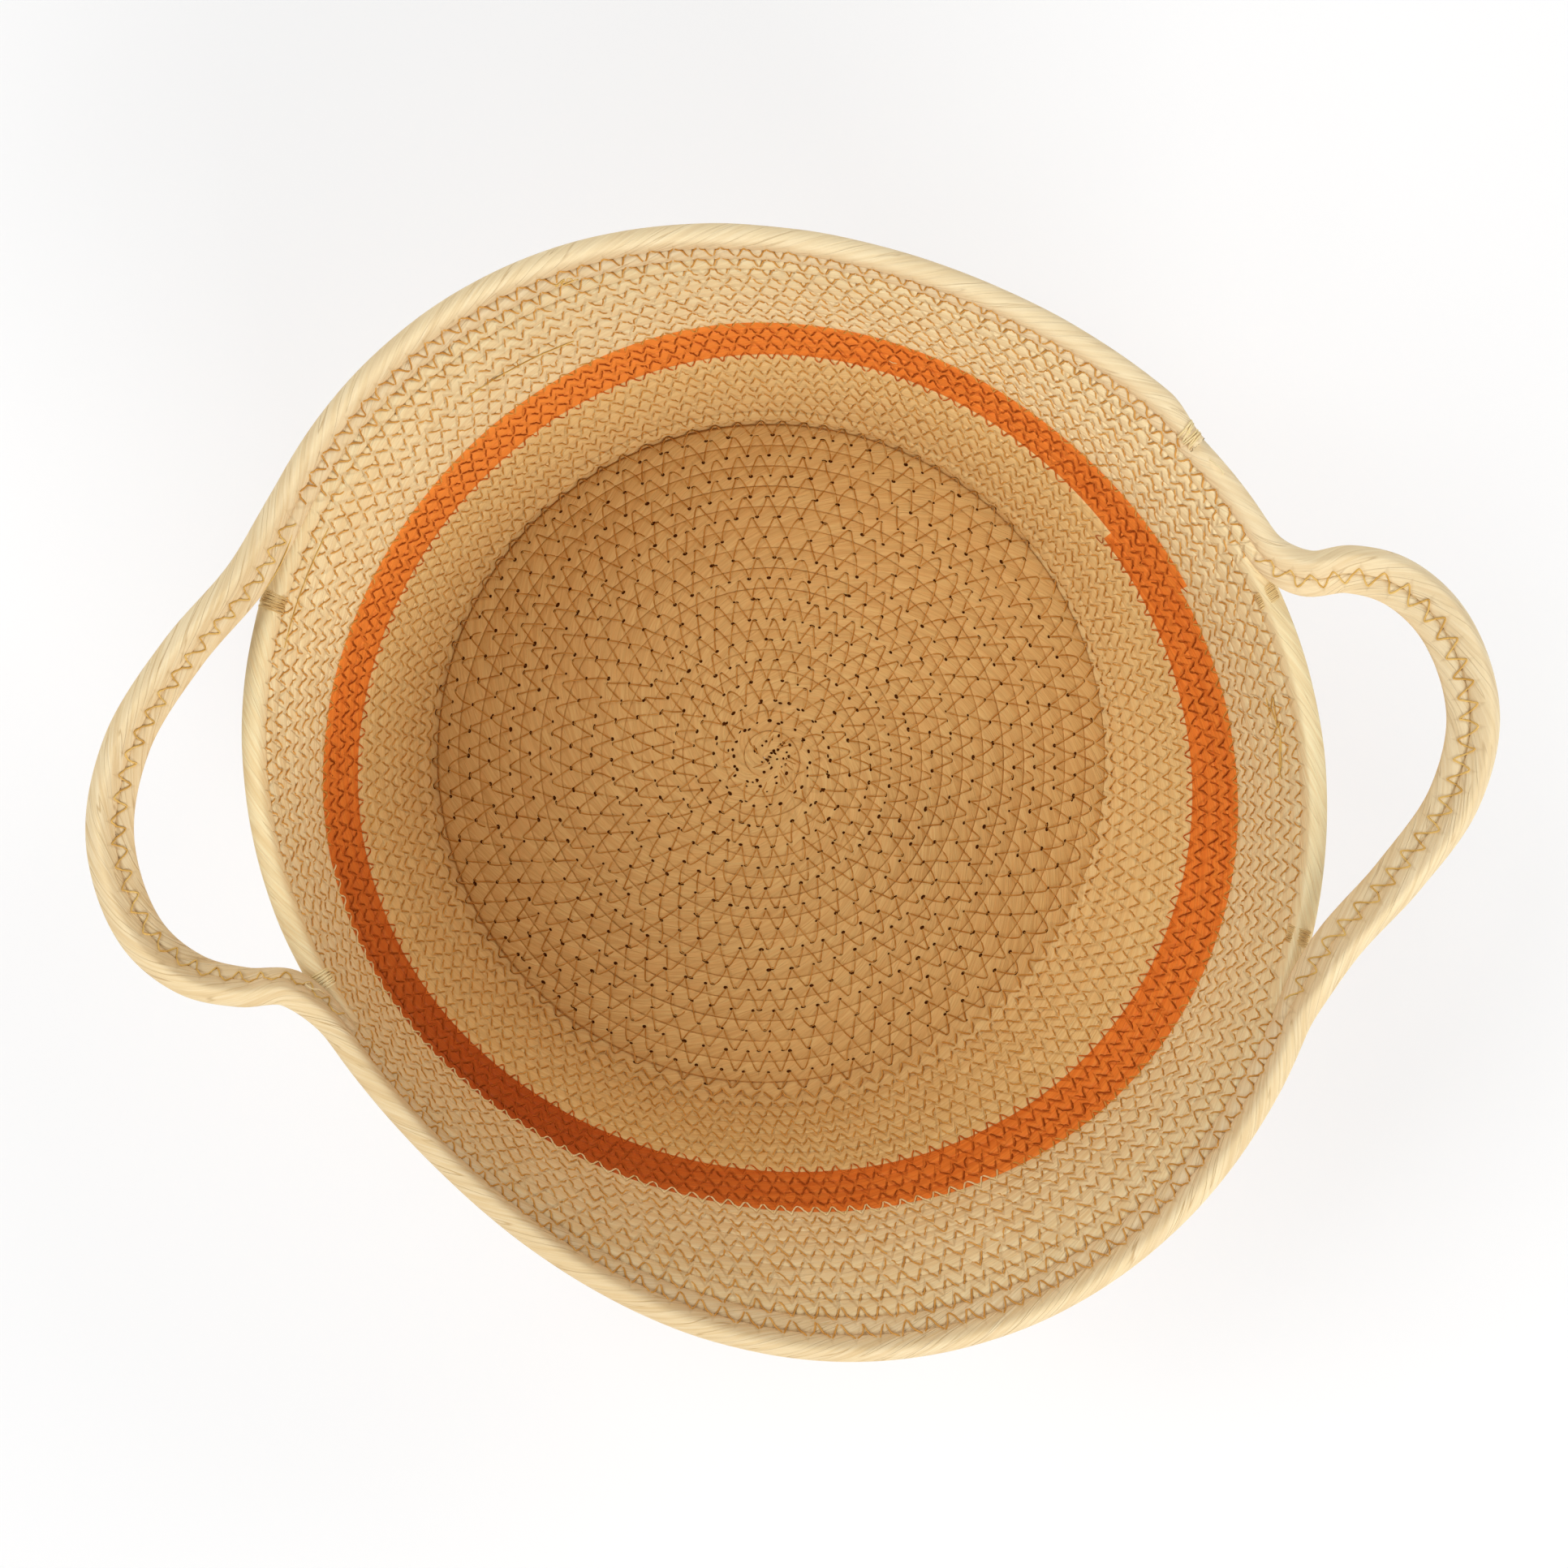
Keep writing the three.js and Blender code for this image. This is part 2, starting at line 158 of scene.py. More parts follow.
# How far a stroke bows along the row and slips across it, when tight and for the share that is loose, the
# share of a row in which it turns, how deep it dips into the paper, and over which shares of its length it
# rises again, before and after the point where it comes out
STROKE_BOW = (0.04, 0.12)
STROKE_SLIP = (0.03, 0.2)
TURNING_SHARE = 0.14
DIP_DEPTH = 0.75
DIP_EASE = (0.12, 0.06)
# Needle holes, drawn as flat dark discs of painted shade: how far above the paper's face and the floor they
# lie, and the shape of one in each row
HOLE_RADIUS = 0.5
HOLE_CORNERS = 9
HOLE_LIFT = 0.03
HOLE_LOWEST = 0.3
LOWER_HOLE = (1.15, 1.1)
UPPER_HOLE = (1.3, 0.8)

# Patterns: fibres, folds and strips of paper in a millimetre across the rope, how many times longer they are
# along it, the length of a patch of tone, the share of a row that a stitch presses in, and how often in a
# millimetre the thread's tone, its twist and a needle hole's tone change
FIBRES_PER_MM = 1.9
FOLDS_PER_MM = 0.55
STRIPS_PER_MM = 0.42
FIBRE_STRETCH = 20
PATCH_LENGTH = 50
STITCH_REACH = 0.3
THREAD_TONES_PER_MM = 0.16
THREAD_TWISTS_PER_MM = 2.6
HOLE_TONES_PER_MM = 0.5

# Studio: the camera's place in millimetres and its focal length in pixels of the picture, the lamps' angle
# around the basket, angle above the floor and power in watts, and their distance, size and aim in metres
CAMERA_PLACE = (5.9, -8.7, 840)
FOCAL_PIXELS = 3000
PICTURE_PIXELS = 1932
SENSOR_WIDTH = 36
LAMPS = {
    "front_softbox": (293, 29, 37), "left_softbox": (183, 41, 15), "right_softbox": (34, 33, 20),
    "back_softbox": (150, 53, 17),
}
LAMP_DISTANCE = 2.15
LAMP_SIZE = 1.2
LAMP_AIM = 0.08
FLOOR_REACH = 4
FLOOR_WHITE = 0.93
FLOOR_GLOW = 0.6
SKY_LIGHT = 0.06

# Steps along the path: of the coil in a turn, of the first end and of a handle, and to take a direction
STEPS_PER_TURN = 720
START_POINTS = 40
HANDLE_POINTS = 241
DIRECTION_STEP = 0.001

MM = 0.001
FULL_TURN = 2 * math.pi
UP = np.array([0.0, 0.0, 1.0])
ROPE_MIDDLE = ROPE_DIAMETER * (0.5 - FOOT_FLAT_SHARE)
STRIPE_TOP_ROW = LOWER_TURNS + STRIPE_TURNS
STRIPE_START = BASE_TURNS + LOWER_TURNS + STRIPE_START_PAST / 360
STRIPE_END = BASE_TURNS + STRIPE_TOP_ROW + STRIPE_END_PAST / 360
WALL_END = BASE_TURNS + STRIPE_TOP_ROW + UPPER_TURNS
LAST_TURN = WALL_END + RIM_ROWS + LAST_ROW_PAST / 360


def unit(v):
    return v / np.linalg.norm(v, axis=-1, keepdims=True)


def smoothstep(x, low, high):
    share = np.clip((x - low) / (high - low), 0, 1)
    return share * share * (3 - 2 * share)


def angle_at(turn):
    return math.radians(SEAM_ANGLE) - FULL_TURN * turn


def turn_at_angle(degrees, after):
    turns = (angle_at(after) - math.radians(degrees)) / FULL_TURN
    return after + turns - math.floor(turns)


def outline_radius(outline, angle):
    shift_x, shift_y = outline["shift"]
    lobes = enumerate((outline["oval"], outline["trefoil"], outline["quatrefoil"]), 2)
    lobed = sum(size * np.cos(count * (angle - math.radians(at))) for count, (size, at) in lobes)
    return (PITCH * BASE_TURNS + outline["spread"] + shift_x * np.cos(angle) + shift_y * np.sin(angle)
            + lobed)


def wall_lean(rows, angle):
    """Sine of the wall's lean from upright, at a height in rows above the base's edge."""
    stripe_radius = outline_radius(STRIPE_OUTLINE, angle)
    lower = (stripe_radius - PITCH * BASE_TURNS) / (PITCH * STRIPE_TOP_ROW)
    upper = (outline_radius(RIM_OUTLINE, angle) - stripe_radius) / (PITCH * (UPPER_TURNS + RIM_ROWS))
    flare = FLARE_START + (rows - STRIPE_TOP_ROW) / (UPPER_TURNS + RIM_ROWS)
    half = LEAN_CHANGE_ROWS / 2
    lean = lower + (upper * flare - lower) * smoothstep(rows, STRIPE_TOP_ROW - half, STRIPE_TOP_ROW + half)
    return 1 + (lean - 1) * smoothstep(rows, 0, HEEL_ROWS)


def coil_point(turn):
    """The rope's middle: a flat spiral, then rows that each lie one pitch from the row before."""
    turn = np.asarray(turn, float)
    angle = angle_at(turn)
    climbed = np.maximum(np.ceil(turn - BASE_TURNS), 0)
    below = turn - climbed
    radius = PITCH * below
    height = np.full_like(radius, ROPE_MIDDLE)
    for row in range(1, int(climbed.max(initial=0)) + 1):
        lean = wall_lean(below + row - BASE_TURNS, angle)
        radius = radius + np.where(row <= climbed, PITCH * lean, 0)
        height = height + np.where(row <= climbed, PITCH * np.sqrt(np.clip(1 - lean * lean, 0, 1)), 0)
    return np.stack([radius * np.cos(angle), radius * np.sin(angle), height], axis=-1)


def coil_rowward(turn):
    return unit(coil_point(turn + 1) - coil_point(np.maximum(turn - 1, 0)))


def turns_along(turn, distance):
    return distance / (FULL_TURN * float(np.linalg.norm(coil_point(turn)[:2])))


def resample(values, points, spacing):
    """Even steps along a line of points: the values, of any width, at those steps."""
    travelled = np.concatenate([[0], np.cumsum(np.linalg.norm(np.diff(points, axis=0), axis=1))])
    count = max(2, round(travelled[-1] / spacing) + 1)
    even = np.linspace(0, travelled[-1], count)
    return np.stack([np.interp(even, travelled, column) for column in values.T], axis=1)


def coil_stretch(start, end):
    turns = np.linspace(start, end, max(8, round((end - start) * STEPS_PER_TURN)))
    turns = resample(turns[:, None], coil_point(turns), RING_SPACING)[:, 0]
    return turns, coil_point(turns), coil_rowward(turns)


def start_stretch():
    """The rope's first end: it starts thin at the middle of the base and swells as it winds outwards."""
    turns = np.linspace(START_TURN - START_TAPER, START_TURN, START_POINTS)
    angle = angle_at(turns)
    outward = np.stack([np.cos(angle), np.sin(angle), np.zeros_like(angle)], axis=1)
    return turns, outward * (PITCH * (turns + START_TURN) / 2)[:, None] + UP * ROPE_MIDDLE, outward


def centripetal(points, at):
    """A centripetal Catmull-Rom curve through points, at a share of its length in segments."""
    index = min(int(at), len(points) - 2)
    share = at - index
    p1, p2 = points[index], points[index + 1]
    p0 = points[index - 1] if index > 0 else 2 * p1 - p2
    p3 = points[index + 2] if index + 2 < len(points) else 2 * p2 - p1
    d0, d1, d2 = (math.sqrt(np.linalg.norm(b - a)) for a, b in ((p0, p1), (p1, p2), (p2, p3)))
    t1 = ((p1 - p0) / d0 - (p2 - p0) / (d0 + d1) + (p2 - p1) / d1) * d1
    t2 = ((p2 - p1) / d1 - (p3 - p1) / (d1 + d2) + (p3 - p2) / d2) * d1
    a, b = 2 * (p1 - p2) + t1 + t2, 3 * (p2 - p1) - 2 * t1 - t2
    return p1 + share * (t1 + share * (b + share * a))


def band_section(turn):
    lower, upper = coil_point(turn), coil_point(turn + 1)
    along = unit(coil_point(turn + DIRECTION_STEP) - coil_point(turn - DIRECTION_STEP))
    across = upper - lower
    return (lower + upper) / 2, unit(across - along * np.dot(across, along))


def lay_out_handle(name):
    """Where the two rim rows leave the rim and come back, and the loop that they make between."""
    sizes = HANDLES[name]
    leave = turn_at_angle(sizes["start"], WALL_END)
    back = turn_at_angle(sizes["end"], WALL_END)
    start, start_rowward = band_section(leave)
    end, end_rowward = band_section(back)
    hinge = end - start
    outward = unit(np.cross(UP, hinge))
    axis = unit(hinge)
    knots = [start + hinge * along + (outward * sizes["reach"] + UP * sizes["rise"]) * out
             - axis * (sizes["bow"] * (1 - along) * math.sin(math.pi * out)) for along, out in HANDLE_ROUTE]
    before = band_section(leave - turns_along(leave, ROOT_LEAD))[0]
    after = band_section(back + turns_along(back, ROOT_LEAD))[0]
    route = [before, start, *knots, end, after]
    shares = np.linspace(0, 1, HANDLE_POINTS)
    line = np.array([centripetal(route, 1 + share * (len(route) - 3)) for share in shares])
    along = unit(np.gradient(line, axis=0))
    sideways = unit(np.cross(UP, along))
    ease = (np.sin(math.pi * shares).clip(0) ** TILT_EASE)[:, None]
    root_tilt = np.arcsin(start_rowward[2]) * (1 - shares) + np.arcsin(end_rowward[2]) * shares
    tilt = root_tilt[:, None] * (1 - ease) + math.radians(sizes["tilt"]) * ease
    rowward = sideways * np.cos(tilt) + UP * np.sin(tilt)
    return {"leave": leave, "back": back, "start": start, "outward": outward, "line": line,
            "rowward": rowward, "shares": shares}


def handle_stretch(layout, row):
    points = layout["line"] + layout["rowward"] * PITCH * (row - 0.5)
    turns = layout["leave"] + row + (layout["back"] - layout["leave"]) * layout["shares"]
    both = resample(np.column_stack([turns, points, layout["rowward"]]), points, RING_SPACING)
    return both[:, 0], both[:, 1:4], unit(both[:, 4:7])


RIGHT, LEFT = lay_out_handle("right"), lay_out_handle("left")


def rope_path():
    """The whole rope from the middle of the base to its last end, as one line, and its named stretches."""
    stretches = [
        ("base_coil", start_stretch()),
        ("base_coil", coil_stretch(START_TURN, BASE_TURNS)),
        ("lower_wall_coil", coil_stretch(BASE_TURNS, STRIPE_START)),
        ("stripe_coil", coil_stretch(STRIPE_START, STRIPE_END)),
        ("upper_wall_coil", coil_stretch(STRIPE_END, RIGHT["leave"])),
    ]
    for row, side in enumerate(("inner", "outer")):
        last = LAST_TURN if row else RIGHT["leave"] + 1
        stretches += [
            (f"right_handle_{side}_rope", handle_stretch(RIGHT, row)),
            (f"front_rim_{side}_rope", coil_stretch(RIGHT["back"] + row, LEFT["leave"] + row)),
            (f"left_handle_{side}_rope", handle_stretch(LEFT, row)),
            (f"back_rim_{side}_rope", coil_stretch(LEFT["back"] + row, last)),
        ]
    turns, points, rowward, spans = [], [], [], {}
    for name, (turn, point, across) in stretches:
        first = 1 if turns else 0
        begin = sum(map(len, turns)) - first
        turns.append(turn[first:])
        points.append(point[first:])
        rowward.append(across[first:])
        end = sum(map(len, turns))
        spans[name] = (spans[name][0] if name in spans else begin, end)
    turns, points, rowward = map(np.concatenate, (turns, points, rowward))
    near = np.zeros(len(turns))
    for name, (mark, _) in spans.items():
        if "handle" in name or "rim" in name:
            rings_away = np.abs(np.arange(len(turns)) - mark)
            near = np.maximum(near, 1 - smoothstep(rings_away, *ROOT_EASED_RINGS))
    for _ in range(ROOT_EASINGS):
        for values in (points, rowward):
            eased = values.copy()
            eased[1:-1] = (values[:-2] + 2 * values[1:-1] + values[2:]) / 4
            values += (eased - values) * near[:, None]
    return turns, points, rowward, spans


TURNS, POINTS, ROWWARD, SPANS = rope_path()
ALONG = unit(np.gradient(POINTS, axis=0))
# Past its first tight turns the rope's section stands square to the rope
square_on = unit(ROWWARD - ALONG * np.sum(ROWWARD * ALONG, axis=1, keepdims=True))
ROWWARD = np.where((TURNS < TIGHT_TURNS)[:, None], ROWWARD, square_on)
INWARD = unit(np.cross(ALONG, ROWWARD))
TUCK = smoothstep(TURNS, LAST_TURN - turns_along(LAST_TURN, TUCK_LENGTH), LAST_TURN)
POINTS = POINTS + TUCK[:, None] * (INWARD * TUCK_IN - ROWWARD * TUCK_DOWN)
row_before = np.stack([np.interp(TURNS - 1, TURNS, column) for column in ROWWARD.T], axis=1)
HEEL = np.clip((1 - np.sum(ROWWARD * row_before, axis=1)) / HEEL_BEND, 0, 1)
HEEL = HEEL * (TURNS > HEEL_TURNS[0]) * (TURNS < HEEL_TURNS[1])
POINTS = POINTS + INWARD * (HEEL_FILL / 2 * HEEL)[:, None]
for first, last, width in GAPS:
    for row, way in ((0, -0.5), (1, 0.5)):
        open_here = (smoothstep(TURNS, first + row, first + row + GAP_EASE)
                     * smoothstep(-TURNS, -last - row, -last - row + GAP_EASE))
        POINTS = POINTS + ROWWARD * (way * width * open_here)[:, None]
TRAVELLED = np.concatenate([[0], np.cumsum(np.linalg.norm(np.diff(POINTS, axis=0), axis=1))])


def soft_noise(seed, length, reach):
    """A smooth random line of values about 0 along the rope, with one wave per length in millimetres."""
    knots = np.random.default_rng(seed).normal(size=int(TRAVELLED[-1] / length) + 4)
    at = TRAVELLED / length
    index = at.astype(int)
    share = smoothstep(at - index, 0, 1)
    return reach * (knots[index] * (1 - share) + knots[index + 1] * share)


ZIGZAG = np.interp(TURNS, SEAM_TURNS, ZIGZAGS)
LEAN = np.interp(TURNS, SEAM_TURNS, ZIGZAG_LEANS)
PHASE = np.concatenate([[0], np.cumsum(np.diff(TRAVELLED) / ZIGZAG[1:])]) + soft_noise(*SEAM_DRIFT)
ON_HANDLE = np.zeros(len(TURNS))
for name, (first, last) in SPANS.items():
    if "handle" in name:
        ON_HANDLE[first + SECTION_EASED_RINGS:last - SECTION_EASED_RINGS] = 1
eased_over = 2 * SECTION_EASED_RINGS + 1
ON_HANDLE = np.convolve(ON_HANDLE, np.ones(eased_over) / eased_over, "same")
HALF_W = np.interp(TURNS, SECTION_TURNS, HALF_WIDTH)
HALF_W = (HALF_W + (HANDLE_HALF_WIDTH - HALF_W) * ON_HANDLE) * (1 - TUCK_NARROWING * TUCK)
HALF_W = HALF_W + soft_noise(*BASE_WIDTH_DRIFT) * (TURNS < BASE_DRIFT_END)
HALF_W = np.minimum(HALF_W, PITCH * np.maximum(TURNS + START_TURN, 0) / 2 + START_HALF_WIDTH)
HALF_T = np.interp(TURNS, SECTION_TURNS, HALF_THICKNESS)
HALF_T = HALF_T * (1 + soft_noise(*THICKNESS_DRIFT)) * (1 - TUCK_THINNING * TUCK)
HALF_T = HALF_T + HEEL_FILL / 2 * HEEL
SQUARE = np.interp(TURNS, SECTION_TURNS, SQUARENESS)
SQUARE = SQUARE + (HANDLE_SQUARENESS - SQUARE) * ON_HANDLE
LAY = np.interp(TURNS, LAY_TURNS, LAYS)
LAY = LAY + (HANDLE_LAY - LAY) * ON_HANDLE
TWIST = np.concatenate([[0], np.cumsum(np.diff(TRAVELLED) * FULL_TURN / LAY[1:])])


def at_turn(values, turn):
    if values.ndim == 1:
        return np.interp(turn, TURNS, values)
    return np.stack([np.interp(turn, TURNS, column) for column in values.T], axis=-1)


def in_handle(turn):
    """Whether the first of the two rim rows is away from the rim, on a handle, at this turn."""
    on_right = (turn > RIGHT["leave"]) & (turn < RIGHT["back"])
    on_left = (turn > LEFT["leave"]) & (turn < LEFT["back"])
    return on_right | on_left


def sewn_to_next(turn):
    """Whether a row is sewn to the row above it at this turn."""
    free_edge = in_handle(turn + 1) & (turn < WALL_END)
    return (turn > START_TURN) & (turn < LAST_TURN - 1) & ~free_edge


# Node trees and meshes

MATH = "ShaderNodeMath"
VECTOR = "ShaderNodeVectorMath"
RANGE = "ShaderNodeMapRange"
MIX = "ShaderNodeMix"
READ = "GeometryNodeInputNamedAttribute"
STORE = "GeometryNodeStoreNamedAttribute"


def linear(hex_colour):
    """An sRGB hex colour as linear values with full alpha."""
    parts = [int(hex_colour[i:i + 2], 16) / 255 for i in (1, 3, 5)]
    return [c / 12.92 if c <= 0.04045 else ((c + 0.055) / 1.055) ** 2.4 for c in parts] + [1.0]


def add(tree, kind, inputs=(), output=None, **settings):
    """Adds a node with its settings, sets or links its inputs by name or in order, and returns an output."""
    made = tree.nodes.new(kind)
    for name, value in settings.items():
        setattr(made, name, value)
    for key, value in inputs.items() if isinstance(inputs, dict) else enumerate(inputs):
        socket = made.inputs[key] if isinstance(key, int) else next(
            s for s in made.inputs if s.name == key and s.enabled)
        if isinstance(value, bpy.types.NodeSocket):
            tree.links.new(value, socket)
        else:
            socket.default_value = value
    return next((s for s in made.outputs if s.enabled and output in (None, s.name)), None)


def new_tree(name, sockets):
    """An empty geometry tree with named inputs; returns it and those inputs."""
    tree = bpy.data.node_groups.new(name, "GeometryNodeTree")
    tree.is_modifier = True
    tree.interface.new_socket("Geometry", in_out="INPUT", socket_type="NodeSocketGeometry")
    for socket_name, kind in sockets.items():
        tree.interface.new_socket(socket_name, in_out="INPUT", socket_type=kind)
    tree.interface.new_socket("Geometry", in_out="OUTPUT", socket_type="NodeSocketGeometry")
    return tree, add(tree, "NodeGroupInput").node.outputs


def close_tree(tree, given, geometry):
    """Ends a tree: instances made real, shaded smooth, and given their material."""
    real = add(tree, "GeometryNodeRealizeInstances", {"Geometry": geometry})
    smooth = add(tree, "GeometryNodeSetShadeSmooth", {"Geometry": real})
    painted = add(tree, "GeometryNodeSetMaterial", {"Geometry": smooth, "Material": given["Material"]})
    add(tree, "NodeGroupOutput", (painted,))
    return tree


def rope_tree():
    """Sweeps the rope: a rounded square section on each point of a line, pressed flat at the foot."""
    tree, given = new_tree("rope_sweep", {
        "Sides": "NodeSocketInt", "Foot Height": "NodeSocketFloat", "Material": "NodeSocketMaterial"})
    position = add(tree, "GeometryNodeInputPosition")
    curve = add(tree, "GeometryNodeMeshToCurve", {"Mesh": given["Geometry"]})
    curve = add(tree, STORE, {"Geometry": curve, "Name": "middle", "Value": position},
                data_type="FLOAT_VECTOR", domain="POINT")
    ring = add(tree, "GeometryNodeCurvePrimitiveCircle", {"Resolution": given["Sides"], "Radius": 1.0},
               mode="RADIUS")
    ring = add(tree, STORE, {"Geometry": ring, "Name": "ring", "Value": position},
               data_type="FLOAT_VECTOR", domain="POINT")
    swept = add(tree, "GeometryNodeCurveToMesh", {"Curve": curve, "Profile Curve": ring, "Fill Caps": True})
    facts = {name: add(tree, READ, {"Name": name}, data_type=kind) for kind, names in (
        ("FLOAT_VECTOR", ("middle", "ring", "rowward", "inward")),
        ("FLOAT", ("squareness", "half_width", "half_thickness", "raised"))) for name in names}
    round_at = add(tree, "ShaderNodeSeparateXYZ", (facts["ring"],)).node.outputs
    power = add(tree, MATH, (2.0, facts["squareness"]), operation="DIVIDE")
    place = facts["middle"]
    for axis, half, way, kept in (("X", "half_width", "rowward", "across"),
                                  ("Y", "half_thickness", "inward", "face")):
        size = add(tree, MATH, (round_at[axis],), operation="ABSOLUTE")
        size = add(tree, MATH, (size, power), operation="POWER")
        side = add(tree, MATH, (round_at[axis],), operation="SIGN")
        signed = add(tree, MATH, (size, side), operation="MULTIPLY")
        reach = add(tree, MATH, (signed, facts[half]), operation="MULTIPLY")
        step = add(tree, VECTOR, {"Vector": facts[way], "Scale": reach}, operation="SCALE")
        place = add(tree, VECTOR, (place, step), operation="ADD")
        in_mm = add(tree, MATH, (reach, 1 / MM), operation="MULTIPLY")
        swept = add(tree, STORE, {"Geometry": swept, "Name": kept, "Value": in_mm},
                    data_type="FLOAT", domain="POINT")
    xyz = add(tree, "ShaderNodeSeparateXYZ", (place,)).node.outputs
    foot = add(tree, MATH, (given["Foot Height"], facts["raised"]), operation="ADD")
    height = add(tree, MATH, (xyz["Z"], foot), operation="MAXIMUM")
    footed = add(tree, "ShaderNodeCombineXYZ", (xyz["X"], xyz["Y"], height))
    swept = add(tree, "GeometryNodeSetPosition", {"Geometry": swept, "Position": footed})
    return close_tree(tree, given, swept)


def thread_tree():
    """Sweeps a thread of round section along each line."""
    tree, given = new_tree("thread_sweep", {
        "Sides": "NodeSocketInt", "Radius": "NodeSocketFloat", "Material": "NodeSocketMaterial"})
    curve = add(tree, "GeometryNodeMeshToCurve", {"Mesh": given["Geometry"]})
    ring = add(tree, "GeometryNodeCurvePrimitiveCircle", {
        "Resolution": given["Sides"], "Radius": given["Radius"]}, mode="RADIUS")
    swept = add(tree, "GeometryNodeCurveToMesh", {"Curve": curve, "Profile Curve": ring, "Fill Caps": True})
    return close_tree(tree, given, swept)


def hole_tree():
    """Sets one small flat oval disc on each point, facing along the point's own direction: the painted shade
    of a needle hole.
    """
    tree, given = new_tree("needle_holes", {
        "Corners": "NodeSocketInt", "Radius": "NodeSocketFloat", "Material": "NodeSocketMaterial"})
    disc = add(tree, "GeometryNodeMeshCircle", {
        "Vertices": given["Corners"], "Radius": given["Radius"]}, fill_type="TRIANGLE_FAN")
    facing, along, stretch = (add(tree, READ, {"Name": name}, data_type="FLOAT_VECTOR")
                              for name in ("facing", "along", "stretch"))
    turned = add(tree, "FunctionNodeAxesToRotation", {"Primary Axis": facing, "Secondary Axis": along},
                 primary_axis="Z", secondary_axis="X")
    placed = add(tree, "GeometryNodeInstanceOnPoints", {
        "Points": given["Geometry"], "Instance": disc, "Rotation": turned, "Scale": stretch})
    return close_tree(tree, given, placed)


def line_object(name, points, breaks=(), attributes=None, joined=True):
    """An object of loose points in millimetres, joined in a line except before the given breaks."""
    mesh = bpy.data.meshes.new(name)
    count = len(points)
    edges = []
    if joined:
        starts = np.arange(count - 1)
        starts = starts[~np.isin(starts + 1, breaks)]
        edges = np.column_stack([starts, starts + 1]).tolist()
    mesh.from_pydata((np.asarray(points) * MM).tolist(), edges, [])
    for key, values in (attributes or {}).items():
        vector = np.ndim(values) == 2
        layer = mesh.attributes.new(key, "FLOAT_VECTOR" if vector else "FLOAT", "POINT")
        layer.data.foreach_set("vector" if vector else "value", np.asarray(values, np.float32).ravel())
    obj = bpy.data.objects.new(name, mesh)
    bpy.context.scene.collection.objects.link(obj)
    return obj


def grow(obj, tree, **inputs):
    """Runs a geometry tree on an object and keeps the result as a plain mesh that faces outwards."""
    modifier = obj.modifiers.new(tree.name, "NODES")
    modifier.node_group = tree
    for item in tree.interface.items_tree:
        key = item.name.lower().replace(" ", "_")
        if item.in_out == "INPUT" and key in inputs:
            modifier[item.identifier] = inputs[key]
    evaluated = obj.evaluated_get(bpy.context.evaluated_depsgraph_get())
    mesh = bpy.data.meshes.new_from_object(evaluated)
    obj.modifiers.clear()
    obj.data = mesh
    corners = np.empty(len(mesh.vertices) * 3, np.float32)
    mesh.vertices.foreach_get("co", corners)
    mesh.calc_loop_triangles()
    tris = np.empty(len(mesh.loop_triangles) * 3, np.int32)
    mesh.loop_triangles.foreach_get("vertices", tris)
    a, b, c = corners.reshape(-1, 3)[tris.reshape(-1, 3)].astype(float).transpose(1, 0, 2)
    if tree.name != "needle_holes" and np.einsum("ij,ij->", a, np.cross(b, c)) < 0:
        mesh.flip_normals()
    return obj


# Materials

def new_material(name):
    material = bpy.data.materials.new(name)
    material.use_nodes = True
    material.node_tree.nodes.clear()
    return material, material.node_tree


def finish_material(material, looks):
    """Ends a material in one shader with these looks."""
    shader = add(material.node_tree, "ShaderNodeBsdfPrincipled", looks)
    add(material.node_tree, "ShaderNodeOutputMaterial", {"Surface": shader})
    return material


def stitch_pinch(tree, across):
    """1 where a stitch to the next or the last row presses into the rope, and 0 away from it: it drives the
    bump there and painted shade.
    """
    rows = add(tree, MATH, (across, PITCH), operation="DIVIDE")
    lean = add(tree, "ShaderNodeAttribute", output="Fac", attribute_name="lean")
    rest = add(tree, MATH, (1.0, lean), operation="SUBTRACT")
    pinches = []
    for row, rows_below in (("next", 0.0), ("last", 1.0)):
        phase, sewn = (add(tree, "ShaderNodeAttribute", output="Fac", attribute_name=f"{key}_{row}")
                       for key in ("seam", "sewn"))
        share = add(tree, MATH, (phase,), operation="FRACT")
        left = add(tree, MATH, (1.0, share), operation="SUBTRACT")
        rising = add(tree, MATH, (share, lean), operation="DIVIDE")
        falling = add(tree, MATH, (left, rest), operation="DIVIDE")
        thread = add(tree, MATH, (rising, falling), operation="MINIMUM")
        place = add(tree, MATH, (rows, rows_below), operation="ADD")
        away = add(tree, MATH, (place, thread), operation="SUBTRACT")
        away = add(tree, MATH, (away,), operation="ABSOLUTE")
        near = add(tree, RANGE, (away, 0.0, STITCH_REACH, 1.0, 0.0), interpolation_type="SMOOTHSTEP")
        pinches.append(add(tree, MATH, (near, sewn), operation="MULTIPLY"))
    return add(tree, MATH, pinches, operation="MAXIMUM")


